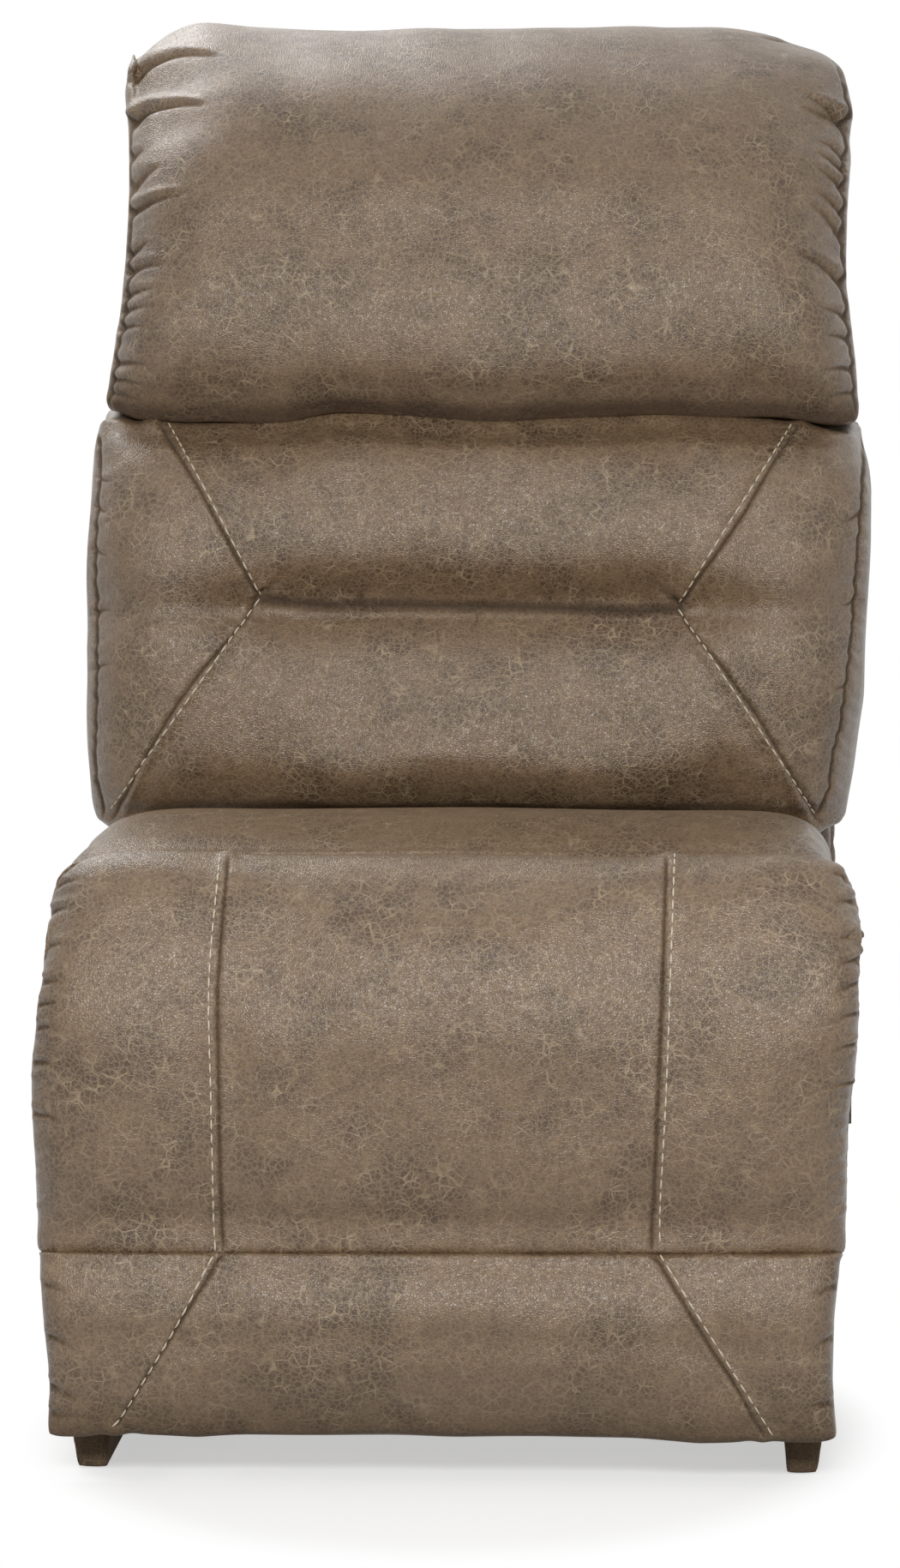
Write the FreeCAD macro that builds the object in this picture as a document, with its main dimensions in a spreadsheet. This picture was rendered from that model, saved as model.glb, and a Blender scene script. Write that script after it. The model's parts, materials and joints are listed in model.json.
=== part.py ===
"""Armless recliner: a module of a reclining sectional, closed, in millimetres.

+X is the viewer's right, the front faces -Y and +Z is up. The origin is on the floor under the
middle of the object. A base of upholstered rails stands on the floor. The seat, with its steel
side plates, glides forward on it as the back leans back, and the footrest swings out in front.
"""

import FreeCAD, Part
import math
import os

import Sketcher

Vector = FreeCAD.Vector
SIDES = {"left": -1, "right": 1}

# Driving dimensions: alias, value and what it is
DIMENSIONS = [
    ("rail_outer", 280, "outer face of a base rail from the middle"),
    ("rail_thick", 30, "base rail, across"),
    ("rail_top", 100, "top of the base rails"),
    ("rail_front", -415, "front end of the base rails, which shows as a foot"),
    ("rail_rear", 300, "rear end of the base rails"),
    ("rail_waist", 50, "height where the rail starts to narrow towards the floor"),
    ("foot_inset", 6, "how much each side of a rail comes in at the floor"),
    ("glide_high", 3, "nail-on floor glide, high"),
    ("glide_radius", 8, "floor glide radius"),
    ("stretcher_thick", 25, "base stretcher, thick"),
    ("stretcher_low", 22, "base stretcher, bottom"),
    ("stretcher_top", 92, "base stretcher, top"),
    ("front_stretcher_y", -330, "front face of the front stretcher"),
    ("rear_stretcher_y", 262, "front face of the rear stretcher"),
    ("rear_panel_thick", 18, "rear panel of the base, thick"),
    ("rear_panel_low", 30, "rear panel of the base, bottom"),
    ("rear_panel_top", 165, "rear panel of the base, top"),
    ("track_deep", 24, "C track, from its web to its lips"),
    ("track_wall", 2.5, "C track, wall"),
    ("track_low", 60, "C track, bottom"),
    ("track_top", 96, "C track, top"),
    ("track_front", -300, "C track, front end"),
    ("track_rear", 258, "C track, rear end"),
    ("shoe_long", 40, "nylon slide shoe, long"),
    ("shoe_gap", 0.4, "clearance of a shoe in its track"),
    ("front_shoe_y", -185, "front end of the front shoes"),
    ("rear_shoe_y", 195, "front end of the rear shoes"),
    ("plate_inner", 222, "inner face of the seat side plates"),
    ("plate_thick", 3, "seat side plate"),
    ("plate_low", 62, "lower edge of the seat side plates"),
    ("deck_low", 275, "bottom of the seat rails"),
    ("deck_top", 345, "top of the seat rails"),
    ("deck_front", -395, "front face of the front seat rail"),
    ("deck_rear", 165, "rear face of the rear seat rail"),
    ("board_thick", 25, "seat rail boards"),
    ("pole_y", -456, "footrest pivot, y"),
    ("pole_z", 415, "footrest pivot, z"),
    ("tube_y", -300, "drive tube axis, y"),
    ("tube_z", 255, "drive tube axis, z"),
    ("throw_y", 56, "from a fixed pivot to the moving pivot of its arm, y"),
    ("throw_z", -105, "from a fixed pivot to the moving pivot of its arm, z"),
    ("tube_radius", 11, "drive tube, outside"),
    ("tube_wall", 2, "drive tube, wall"),
    ("bush_wall", 2, "nylon bush round the drive tube"),
    ("run_gap", 0.05, "radial clearance of a running fit"),
    ("open_gap", 0.3, "radial clearance at the last pivot of the closed linkage"),
    ("link_thick", 4, "arms and cranks"),
    ("link_gap", 2, "gap between a side plate and its arms"),
    ("pin_radius", 5, "pivot pin shank"),
    ("head_radius", 8, "pivot pin head"),
    ("head_high", 2.4, "pivot pin head, thick"),
    ("end_play", 0.3, "play of a part between the heads of its pin"),
    ("bracket_gap", 1.5, "gap between a side plate and its back bracket"),
    ("cross_radius", 12.5, "cross tubes between the side plates"),
    ("hinge_y", 200, "back pivot, y"),
    ("hinge_z", 290, "back pivot, z"),
    ("back_foot_y", 300, "rear face of the outside back at its lower edge, y"),
    ("back_foot_z", 200, "lower edge of the outside back, z"),
    ("back_lean", 13.2, "lean of the back from upright, degrees"),
    ("outside_back_thick", 12, "outside back panel"),
    ("outside_back_long", 816, "outside back panel, along the lean"),
    ("back_side_low", 25, "lower end of the upholstered sides of the back, along the lean"),
    ("back_side_top", 795, "upper end of the upholstered sides of the back, along the lean"),
    ("outside_back_half", 298, "half the width of the outside back"),
    ("post_thick", 28, "back post, across"),
    ("post_deep", 60, "back post, front to rear"),
    ("post_low", 15, "lower end of the back posts along the lean"),
    ("post_top", 800, "upper end of the back posts along the lean"),
    ("back_rail_high", 60, "cross rails of the back"),
    ("back_rail_deep", 28, "cross rails of the back"),
    ("middle_rail_low", 380, "lower edge of the middle back rail along the lean"),
    ("web_wide", 50, "elastic webbing"),
    ("web_thick", 2, "elastic webbing"),
    ("web_pitch", 130, "spacing of the webbing straps"),
    ("bracket_thick", 4, "back bracket"),
    ("cushion_half", 298, "half the width of the seat cushion"),
    ("seat_crown", 476, "top of the seat cushion"),
    ("seat_cushion_low", 401, "bottom of the seat cushion"),
    ("seat_rear", 122, "rear of the seat cushion"),
    ("foam_low", 352, "bottom of the seat foam"),
    ("spring_wire", 1.7, "radius of the seat spring wire"),
    ("spring_pitch", 24, "pitch of a spring's bends"),
    ("spring_half", 22, "half the width of a spring strand"),
    ("spring_spacing", 78, "spacing of the spring strands"),
    ("side_panel_inner", 262, "inner face of the seat side panels"),
    ("side_panel_outer", 292, "outer face of the seat side panels"),
    ("side_panel_low", 215, "bottom of the seat side panels"),
    ("side_panel_rear", 175, "rear end of the seat side panels"),
    ("pad_half", 303, "half the width of the chaise pad"),
    ("pad_front", -500, "front of the chaise pad"),
    ("pad_crown", 471, "top of the chaise pad"),
    ("pad_seam_z", 183, "seam between the chaise pad and the lower bolster"),
    ("hem_z", 44, "lower hem of the bolster"),
    ("board_front", -440, "front face of the footrest board"),
    ("footrest_board_thick", 15, "footrest board"),
    ("footrest_board_low", 62, "footrest board, bottom"),
    ("footrest_board_top", 359, "footrest board, top"),
    ("footrest_board_half", 265, "half the width of the footrest board"),
    ("lumbar_half", 318, "half the width of the lumbar cushion"),
    ("lumbar_low", 450, "bottom of the lumbar cushion"),
    ("lumbar_tuck_z", 630, "sewn tuck across the lumbar cushion"),
    ("head_seam_z", 778, "seam between the lumbar cushion and the headrest"),
    ("head_half", 302, "half the width of the headrest"),
    ("head_top", 1096, "top of the headrest"),
    ("tab_y", -370, "middle of the pull tab"),
    ("tab_z", 309, "middle of the pull tab's stem"),
    ("tab_wide", 26, "pull tab webbing, wide"),
    ("tab_thick", 4, "pull tab webbing, doubled"),
    ("latch_x", 245.5, "latch pivot, x"),
    ("latch_z", 262, "latch pivot, z"),
    ("connector_hole", 4.5, "radius of the connector bolt holes"),
    ("connector_spacing", 96, "spacing of the connector bolt holes"),
    ("connector_z", 74, "height of the connector bolt holes"),
    ("connector_deep", 20, "depth of the connector bolt holes in a rail"),
    ("connector_margin", 16, "from a connector bolt hole to the edges of its plate"),
    ("sheet_thick", 3, "connector plates, arm flanges and the latch bracket"),
    ("cross_wall", 1.6, "cross tubes, wall"),
    ("flange_wide", 26, "flange of a footrest arm, across"),
    ("flange_low", 150, "flange of a footrest arm, bottom"),
    ("flange_top", 340, "flange of a footrest arm, top"),
    ("block_low", 285, "blocks behind the seat side panels, bottom"),
    ("block_top", 335, "blocks behind the seat side panels, top"),
    ("block_long", 40, "blocks behind the seat side panels, long"),
    ("bolt_radius", 3.9, "bolt shank, radius"),
    ("bolt_hole", 4, "radius of a hole for a bolt"),
    ("bolt_head", 8, "carriage bolt head, radius"),
    ("bolt_head_high", 1.6, "carriage bolt head, high"),
    ("flat_head", 7, "flat bolt head, radius"),
    ("flat_head_high", 1.2, "flat bolt head, high"),
    ("bolt_tail", 8, "reach of a bolt past its wood"),
    ("nut_radius", 7, "nut, radius"),
    ("nut_high", 6, "nut, high"),
    ("screw_head", 4.5, "screw head, radius"),
    ("screw_head_high", 2, "screw head, high"),
    ("flange_lip", 4, "flange of a drive tube bush past its bore"),
    ("flange_high", 1.5, "flange of a drive tube bush, thick"),
    ("clip_high", 4.6, "spring clip, high"),
    ("clip_wide", 16, "spring clip, along its spring wire"),
    ("clip_deep", 10, "spring clip, across its spring wire"),
    ("strap_first", 150, "lower edge of the first webbing strap along the lean"),
    ("grommet_thick", 2.5, "grommet of the pull tab, thick"),
    ("latch_pin_radius", 3, "pin of the latch"),
    ("lever_thick", 6, "latch lever, thick"),
    ("lever_high", 53, "latch lever, from its pin to its top"),
]

# Rows of fasteners and fittings: y, height z, or (y, z) of each
TRACK_SCREWS = (-270, -20, 235)
CONNECTOR_SCREWS = (-20, 20)
SEAT_BOLTS = (-350, -110, 110)
CROSS_TUBES = ((-150, 112), (120, 150))
PANEL_BLOCKS = (-70, 30)
ARM_SCREWS = (170, 245, 320)
BRACKET_BOLTS = ((278, 372), (304, 462))
SPRING_COUNT = 5
STRAP_COUNT = 5
CLEAR = 5  # how far a cutting tool runs past the faces that it opens


class Size:
    """A length that holds both its number and the expression that gives it from the sheet."""

    def __init__(self, value, text):
        self.value = value
        self.text = text

    def __add__(self, other):
        other = size(other)
        return Size(self.value + other.value, "(%s + %s)" % (self.text, other.text))

    def __sub__(self, other):
        other = size(other)
        return Size(self.value - other.value, "(%s - %s)" % (self.text, other.text))

    def __mul__(self, other):
        other = size(other)
        return Size(self.value * other.value, "(%s * %s)" % (self.text, other.text))

    def __neg__(self):
        return size(0) - self


def size(thing):
    """A plain number becomes a Size whose expression is that number."""
    if isinstance(thing, Size):
        return thing
    return Size(float(thing), "(%.9g)" % thing)


def make_sheet(doc):
    """The spreadsheet of driving dimensions, and a dictionary of Sizes by alias."""
    sheet = doc.addObject("Spreadsheet::Sheet", "Sizes")
    found = {}
    for row, (alias, value, words) in enumerate(DIMENSIONS, start=1):
        sheet.set("A%d" % row, words)
        sheet.set("B%d" % row, str(value))
        sheet.setAlias("B%d" % row, alias)
        found[alias] = Size(float(value), "Sizes.%s" % alias)
    doc.recompute()
    return found


doc = FreeCAD.newDocument("armless_recliner")
D = make_sheet(doc)
nodes = {}


def node(name, thing):
    """Label an object as one of the model's pieces."""
    thing.Label = name
    nodes[name] = thing
    return thing


def bind(thing, **expressions):
    """Bind properties to sizes, with two underscores in a name standing for a dot."""
    for path, value in expressions.items():
        thing.setExpression(path.replace("__", "."), size(value).text)


def place(thing, x=0, y=0, z=0):
    bind(thing, Placement__Base__x=x, Placement__Base__y=y, Placement__Base__z=z)


def ordered(sign, near, far):
    """The lower and higher end on one side of the middle, of a stretch from near to far."""
    near, far = size(near), size(far)
    return (near, far) if sign > 0 else (-far, -near)


def box(name, x, y, z):
    """A box between two corners, given as (low, high) pairs."""
    thing = doc.addObject("Part::Box", name)
    bind(
        thing,
        Length=size(x[1]) - x[0],
        Width=size(y[1]) - y[0],
        Height=size(z[1]) - z[0],
    )
    place(thing, x[0], y[0], z[0])
    return thing


def rod(name, radius, x, y, z):
    """A cylinder along X between the two ends of x."""
    thing = doc.addObject("Part::Cylinder", name)
    thing.Placement = FreeCAD.Placement(Vector(), FreeCAD.Rotation(Vector(0, 1, 0), 90))
    bind(thing, Radius=radius, Height=size(x[1]) - x[0])
    place(thing, x[0], y, z)
    return thing


def rod_y(name, radius, y, x, z):
    """A cylinder along Y between the two ends of y."""
    thing = doc.addObject("Part::Cylinder", name)
    thing.Placement = FreeCAD.Placement(Vector(), FreeCAD.Rotation(Vector(1, 0, 0), -90))
    bind(thing, Radius=radius, Height=size(y[1]) - y[0])
    place(thing, x, y[0], z)
    return thing


def cut(name, base, *tools):
    """The base less its tools."""
    thing = doc.addObject("Part::Cut", name)
    thing.Base = base
    thing.Tool = tools[0] if len(tools) == 1 else fuse(name + "_tools", *tools)
    return thing


def fuse(name, *pieces):
    """Pieces that are one solid."""
    thing = doc.addObject("Part::MultiFuse", name)
    thing.Shapes = list(pieces)
    thing.Refine = True
    return thing


def group(name, *pieces):
    """Identical fasteners or fittings, kept as separate solids in one piece."""
    thing = doc.addObject("Part::Compound", name)
    thing.Links = list(pieces)
    return thing


def plane_of(body, role):
    return [part for part in body.Origin.OriginFeatures if part.Role == role][0]


def sketch_on(body, role, corners, holes):
    """A closed outline through corners, with round holes of (across, up, radius)."""
    sketch = body.newObject("Sketcher::SketchObject", body.Name + "_outline")
    sketch.AttachmentSupport = [(plane_of(body, role), "")]
    sketch.MapMode = "FlatFace"
    corners = [(size(a), size(b)) for a, b in corners]
    total = len(corners)
    ends = [Vector(a.value, b.value, 0) for a, b in corners]
    for i in range(total):
        sketch.addGeometry(Part.LineSegment(ends[i], ends[(i + 1) % total]), False)
    for i in range(total):
        sketch.addConstraint(Sketcher.Constraint("Coincident", i, 2, (i + 1) % total, 1))
    for i, corner in enumerate(corners):
        fix_point(sketch, i, 1, corner)
    for across, up, radius in holes:
        across, up, radius = size(across), size(up), size(radius)
        middle = Vector(across.value, up.value, 0)
        ring = sketch.addGeometry(Part.Circle(middle, Vector(0, 0, 1), radius.value), False)
        row = sketch.addConstraint(Sketcher.Constraint("Radius", ring, radius.value))
        sketch.setExpression("Constraints[%d]" % row, radius.text)
        fix_point(sketch, ring, 3, (across, up))
    return sketch


def fix_point(sketch, item, point, place_of):
    """Hold a point of a sketch at two sizes from the sketch's origin."""
    for kind, length in zip(("DistanceX", "DistanceY"), place_of):
        row = sketch.addConstraint(Sketcher.Constraint(kind, -1, 1, item, point, length.value))
        sketch.setExpression("Constraints[%d]" % row, length.text)


def padded_sketch(name, role, corners, holes, thick):
    body = doc.addObject("PartDesign::Body", name)
    pad = body.newObject("PartDesign::Pad", name + "_pad")
    sketch = sketch_on(body, role, corners, holes)
    pad.Profile = sketch
    bind(pad, Length=thick)
    return body


def side_sheet(name, x, corners, holes=()):
    """A sheet or board that lies in a YZ plane, from x[0] to x[1]."""
    body = padded_sketch(name, "YZ_Plane", corners, holes, size(x[1]) - x[0])
    place(body, x[0])
    return body


def cross_sheet(name, y, corners, holes=()):
    """A sheet that lies in an XZ plane, from y[0] to y[1]; its pad runs towards -Y."""
    body = padded_sketch(name, "XZ_Plane", corners, holes, size(y[1]) - y[0])
    place(body, 0, y[1])
    return body


def rear_line(z, inside=0):
    """The y of the outside back's rear face at a height, or of a face parallel inside it."""
    lean = math.radians(D["back_lean"].value)
    rise = z - D["back_foot_z"].value
    return D["back_foot_y"].value + rise * math.tan(lean) - inside / math.cos(lean)


def lean_box(name, x, inside, along):
    """A box of the leaning back: inside is its depth from the rear face, along its height."""
    thing = doc.addObject("Part::Box", name)
    turn = FreeCAD.Rotation(Vector(1, 0, 0), -D["back_lean"].value)
    thing.Placement = FreeCAD.Placement(Vector(), turn)
    thing.setExpression("Placement.Rotation.Angle", "-Sizes.back_lean")
    bind(
        thing,
        Length=size(x[1]) - x[0],
        Width=size(inside[0]) - inside[1],
        Height=size(along[1]) - along[0],
    )
    lean_sin = Size(math.sin(math.radians(D["back_lean"].value)), "sin(Sizes.back_lean * 1 deg)")
    lean_cos = Size(math.cos(math.radians(D["back_lean"].value)), "cos(Sizes.back_lean * 1 deg)")
    deep, up = size(inside[0]), size(along[0])
    place(
        thing,
        x[0],
        D["back_foot_y"] + up * lean_sin - deep * lean_cos,
        D["back_foot_z"] + up * lean_cos + deep * lean_sin,
    )
    return thing


def loft_cushion(name, half, corner_wide, outline):
    """A cushion lofted along X through outlines that draw in towards its two ends.

    outline(draw, across) gives a closed list of (kind, points) edges in (y, z), where draw is 0
    in the middle and 1 at an end, and across is the distance from the middle.
    """
    inner = half - corner_wide
    ends = []
    for angle in (0, 30, 60, 90):
        turn = math.radians(angle)
        ends.append((inner + corner_wide * math.sin(turn), 1 - math.cos(turn)))
    flat = 0.62 * inner
    stations = [(-x, draw) for x, draw in reversed(ends)]
    stations += [(-flat, 0), (0, 0), (flat, 0)]
    stations += ends
    wires = [section(x, outline(draw, abs(x))) for x, draw in stations]
    thing = doc.addObject("Part::Feature", name)
    thing.Shape = Part.makeLoft(wires, True, False)
    return thing


def section(x, edges):
    """A closed wire in the plane of one x, of lines and three-point arcs."""
    made = []
    for points in edges:
        spots = [Vector(x, y, z) for y, z in points]
        if len(spots) == 3:
            made.append(Part.Arc(*spots).toShape())
        else:
            made.append(Part.LineSegment(*spots).toShape())
    return Part.Wire(made)


def closed_edges(start, pieces):
    """Edges from start through pieces, each an end point or a (middle, end) pair of an arc."""
    edges = []
    here = start
    for piece in pieces:
        if isinstance(piece[0], tuple):
            edges.append([here, piece[0], piece[1]])
            here = piece[1]
        else:
            edges.append([here, piece])
            here = piece
    edges.append([here, start])
    return edges


# Base


def make_rails():
    for side, sign in SIDES.items():
        inner, outer = D["rail_outer"] - D["rail_thick"], D["rail_outer"]
        low, waist = D["glide_high"], D["rail_waist"]
        corners = [
            (inner + D["foot_inset"], low),
            (outer - D["foot_inset"], low),
            (outer, waist),
            (outer, D["rail_top"]),
            (inner, D["rail_top"]),
            (inner, waist),
        ]
        if sign < 0:
            corners = [(-a, b) for a, b in corners]
        name = side + "_side_rail"
        stretch = (D["rail_front"], D["rail_rear"])
        rail = cross_sheet(name + "_board", stretch, corners)
        holes = []
        for end in (-1, 1):
            y = D["connector_spacing"] * (end * 0.5)
            x = ordered(sign, D["rail_outer"] - D["connector_deep"], D["rail_outer"])
            holes.append(rod(name + "_hole", D["connector_hole"], x, y, D["connector_z"]))
        node(name, cut(name, rail, *holes))


def make_glides():
    """Nail-on glides under both ends of each rail."""
    from_end = 25
    middle = D["rail_outer"] - D["rail_thick"] * 0.5
    pads = []
    for sign in SIDES.values():
        for y in (D["rail_front"] + from_end, D["rail_rear"] - from_end):
            thing = doc.addObject("Part::Cylinder", "glide")
            bind(thing, Radius=D["glide_radius"], Height=D["glide_high"])
            place(thing, middle * sign, y, 0)
            pads.append(thing)
    node("floor_glides", group("floor_glides", *pads))


def make_stretchers():
    """Two boards between the rails, and an upholstered panel across their rear ends."""
    inner, outer = D["rail_outer"] - D["rail_thick"], D["rail_outer"]
    high = (D["stretcher_low"], D["stretcher_top"])
    for end in ("front", "rear"):
        name = end + "_stretcher"
        start = D[name + "_y"]
        node(name, box(name, (-inner, inner), (start, start + D["stretcher_thick"]), high))
    depth = (D["rail_rear"], D["rail_rear"] + D["rear_panel_thick"])
    high = (D["rear_panel_low"], D["rear_panel_top"])
    node("rear_base_panel", box("rear_base_panel", (-outer, outer), depth, high))


def make_tracks():
    """C tracks that are open towards the middle, in which the shoes of the seat slide."""
    outer = D["rail_outer"] - D["rail_thick"]
    inner, wall = outer - D["track_deep"], D["track_wall"]
    front, rear = D["track_front"], D["track_rear"]
    low, top = D["track_low"], D["track_top"]
    for side, sign in SIDES.items():
        name = side + "_glide_track"
        whole = box(name + "_bar", ordered(sign, inner, outer), (front, rear), (low, top))
        hollow = box(
            name + "_hollow",
            ordered(sign, inner - CLEAR, outer - wall),
            (front - CLEAR, rear + CLEAR),
            (low + wall, top - wall),
        )
        node(name, cut(name, whole, hollow))


def make_connectors():
    """Steel plates with two bolt holes, where the neighbouring modules are joined."""
    half, margin = D["connector_spacing"] * 0.5, D["connector_margin"]
    reach, low, high = half + margin, D["connector_z"] - margin, D["connector_z"] + margin
    corners = [(-reach, low), (reach, low), (reach, high), (-reach, high)]
    holes = [(y, D["connector_z"], D["connector_hole"]) for y in (-half, half)]
    for side, sign in SIDES.items():
        name = side + "_connector_plate"
        x = ordered(sign, D["rail_outer"], D["rail_outer"] + D["sheet_thick"])
        node(name, side_sheet(name, x, corners, holes))


def make_base_screws():
    """Pan-head screws that hold the tracks and the connector plates on the rails."""
    web = D["rail_outer"] - D["rail_thick"] - D["track_wall"]
    plate = D["rail_outer"] + D["sheet_thick"]
    high, radius = D["screw_head_high"], D["screw_head"]
    track_middle = (D["track_low"] + D["track_top"]) * 0.5
    heads = []
    for sign in SIDES.values():
        for y in TRACK_SCREWS:
            heads.append(rod("base_screw", radius, ordered(sign, web - high, web), y, track_middle))
        for y in CONNECTOR_SCREWS:
            x = ordered(sign, plate, plate + high)
            heads.append(rod("base_screw", radius, x, y, D["connector_z"]))
    node("base_screws", group("base_screws", *heads))


# Seat


def plate_x(sign):
    return ordered(sign, D["plate_inner"], D["plate_inner"] + D["plate_thick"])


def make_side_plates():
    """Steel side plates: a foot along the track, a web under the seat and a horn to the pivot."""
    py, pz, hy, hz = D["pole_y"], D["pole_z"], D["hinge_y"], D["hinge_z"]
    low, top = D["plate_low"], D["deck_top"] - 2
    foot_front, foot_rear = D["front_shoe_y"] - 10, D["rear_shoe_y"] + D["shoe_long"]
    along_track = [
        (foot_front, low),
        (foot_rear, low),
        (foot_rear, low + 43),
        (D["deck_rear"] - 15, low + 80),
    ]
    round_back_pivot = [
        (hy - 28, hz - 24),
        (hy + 16, hz - 20),
        (hy + 18, hz + 16),
        (hy - 14, hz + 30),
    ]
    along_seat_rail = [(D["deck_rear"], top), (D["deck_front"], top)]
    round_footrest_pivot = [
        (py + 34, pz + 2),
        (py + 8, pz + 13),
        (py - 12, pz + 10),
        (py - 13, pz - 10),
        (py + 14, pz - 22),
    ]
    front_edge = [
        (D["deck_front"] - 1, D["deck_low"] + 28),
        (D["tube_y"] - 45, D["tube_z"] - 23),
        (foot_front - 5, D["tube_z"] - 26),
    ]
    corners = along_track + round_back_pivot + along_seat_rail + round_footrest_pivot + front_edge
    bush = D["tube_radius"] + D["run_gap"] + D["bush_wall"]
    holes = [
        (py, pz, D["pin_radius"]),
        (hy, hz, D["pin_radius"]),
        (D["tube_y"], D["tube_z"], bush),
    ]
    holes += [(y, bolt_height(), D["bolt_hole"]) for y in SEAT_BOLTS]
    for side, sign in SIDES.items():
        name = side + "_side_plate"
        node(name, side_sheet(name, plate_x(sign), corners, holes))


def bolt_height():
    return (D["deck_low"] + D["deck_top"]) * 0.5


def make_seat_box():
    """Four boards on edge that carry the springs."""
    inner = D["plate_inner"] - D["board_thick"]
    low, top, front, rear = D["deck_low"], D["deck_top"], D["deck_front"], D["deck_rear"]
    corners = [(front, low), (rear, low), (rear, top), (front, top)]
    holes = [(y, bolt_height(), D["bolt_hole"]) for y in SEAT_BOLTS]
    for side, sign in SIDES.items():
        name = side + "_seat_rail"
        node(name, side_sheet(name, ordered(sign, inner, D["plate_inner"]), corners, holes))
    board = D["board_thick"]
    node("front_seat_rail", box("front_seat_rail", (-inner, inner), (front, front + board), (low, top)))
    node("rear_seat_rail", box("rear_seat_rail", (-inner, inner), (rear - board, rear), (low, top)))


def through_bolt(name, sign, wood, steel, spot, head):
    """A bolt along X from its nut on the wood's inner face to its head on the steel's outer face.

    wood and steel are those faces' distances from the middle, spot is (y, z) and head is the
    (radius, height) of the head.
    """
    shank = rod(name + "_shank", D["bolt_radius"], ordered(sign, wood - D["bolt_tail"], steel), *spot)
    cap = rod(name + "_head", head[0], ordered(sign, steel, steel + head[1]), *spot)
    nut = rod(name + "_nut", D["nut_radius"], ordered(sign, wood - D["nut_high"], wood), *spot)
    return fuse(name, shank, cap, nut)


def make_plate_bolts():
    """Carriage bolts that hold the side plates to the seat rails, each with its nut."""
    wood = D["plate_inner"] - D["board_thick"]
    steel = D["plate_inner"] + D["plate_thick"]
    head = (D["bolt_head"], D["bolt_head_high"])
    bolts = [
        through_bolt("plate_bolt", sign, wood, steel, (y, bolt_height()), head)
        for sign in SIDES.values()
        for y in SEAT_BOLTS
    ]
    node("plate_bolts", group("plate_bolts", *bolts))


def make_shoes():
    """Nylon shoes fixed outside the side plates, running inside the tracks."""
    gap, wall = D["shoe_gap"], D["track_wall"]
    outer = D["plate_inner"] + D["plate_thick"]
    track_web = D["rail_outer"] - D["rail_thick"] - wall
    off_screws = D["screw_head_high"] + 0.6
    height = (D["track_low"] + wall + gap, D["track_top"] - wall - gap)
    shoes = []
    for sign in SIDES.values():
        for start in (D["front_shoe_y"], D["rear_shoe_y"]):
            across = ordered(sign, outer, track_web - off_screws)
            shoes.append(box("shoe", across, (start, start + D["shoe_long"]), height))
    node("glide_shoes", group("glide_shoes", *shoes))


def make_cross_tubes():
    """Two alike steel tubes that tie the side plates together."""
    reach, bore = D["plate_inner"], D["cross_radius"] - D["cross_wall"]
    tubes = []
    for y, z in CROSS_TUBES:
        outside = rod("cross_tube_bar", D["cross_radius"], (-reach, reach), y, z)
        inside = rod("cross_tube_bore", bore, (-reach - CLEAR, reach + CLEAR), y, z)
        tubes.append(cut("cross_tube", outside, inside))
    node("cross_tubes", group("cross_tubes", *tubes))


def make_bushes():
    """Flanged nylon bushes in the side plates, in which the drive tube turns."""
    bore = D["tube_radius"] + D["run_gap"]
    y, z, inner = D["tube_y"], D["tube_z"], D["plate_inner"]
    rings = []
    for sign in SIDES.values():
        barrel = rod("bush_barrel", bore + D["bush_wall"], plate_x(sign), y, z)
        lip = ordered(sign, inner - D["flange_high"], inner)
        flange = rod("bush_flange", bore + D["flange_lip"], lip, y, z)
        reach = ordered(sign, inner - CLEAR, inner + D["plate_thick"] + CLEAR)
        hole = rod("bush_bore", bore, reach, y, z)
        rings.append(cut("bush", fuse("bush_body", barrel, flange), hole))
    node("drive_tube_bushes", group("drive_tube_bushes", *rings))


def stepped_pin(name, sign, y, z, steps):
    """A pin along X made of (near, far, radius) steps measured from the middle."""
    return fuse(
        name,
        *[rod(name + "_step", radius, ordered(sign, near, far), y, z) for near, far, radius in steps]
    )


def bracket_x(sign):
    outer = D["plate_inner"] - D["bracket_gap"]
    return ordered(sign, outer - D["bracket_thick"], outer)


def make_pivot_pins():
    """Riveted pins in the side plates, on which the footrest arms and back brackets turn."""
    inner, outer = D["plate_inner"], D["plate_inner"] + D["plate_thick"]
    arm = outer + D["link_gap"]
    arm_end = arm + D["link_thick"] + D["end_play"]
    bracket = inner - D["bracket_gap"]
    bracket_end = bracket - D["bracket_thick"] - D["end_play"]
    pins = []
    for sign in SIDES.values():
        footrest_steps = [
            (inner - D["head_high"], inner, D["head_radius"]),
            (inner, arm_end, D["pin_radius"]),
            (outer, arm - D["end_play"], D["head_radius"]),
            (arm_end, arm_end + D["head_high"], D["head_radius"]),
        ]
        back_steps = [
            (outer, outer + D["head_high"], D["head_radius"]),
            (bracket_end, outer, D["pin_radius"]),
            (bracket + D["end_play"], inner, D["head_radius"]),
            (bracket_end - D["head_high"], bracket_end, D["head_radius"]),
        ]
        for place_of, steps in (("pole", footrest_steps), ("hinge", back_steps)):
            y, z = D[place_of + "_y"], D[place_of + "_z"]
            pins.append(stepped_pin("pivot_pin", sign, y, z, steps))
    node("pivot_pins", group("pivot_pins", *pins))


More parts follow.
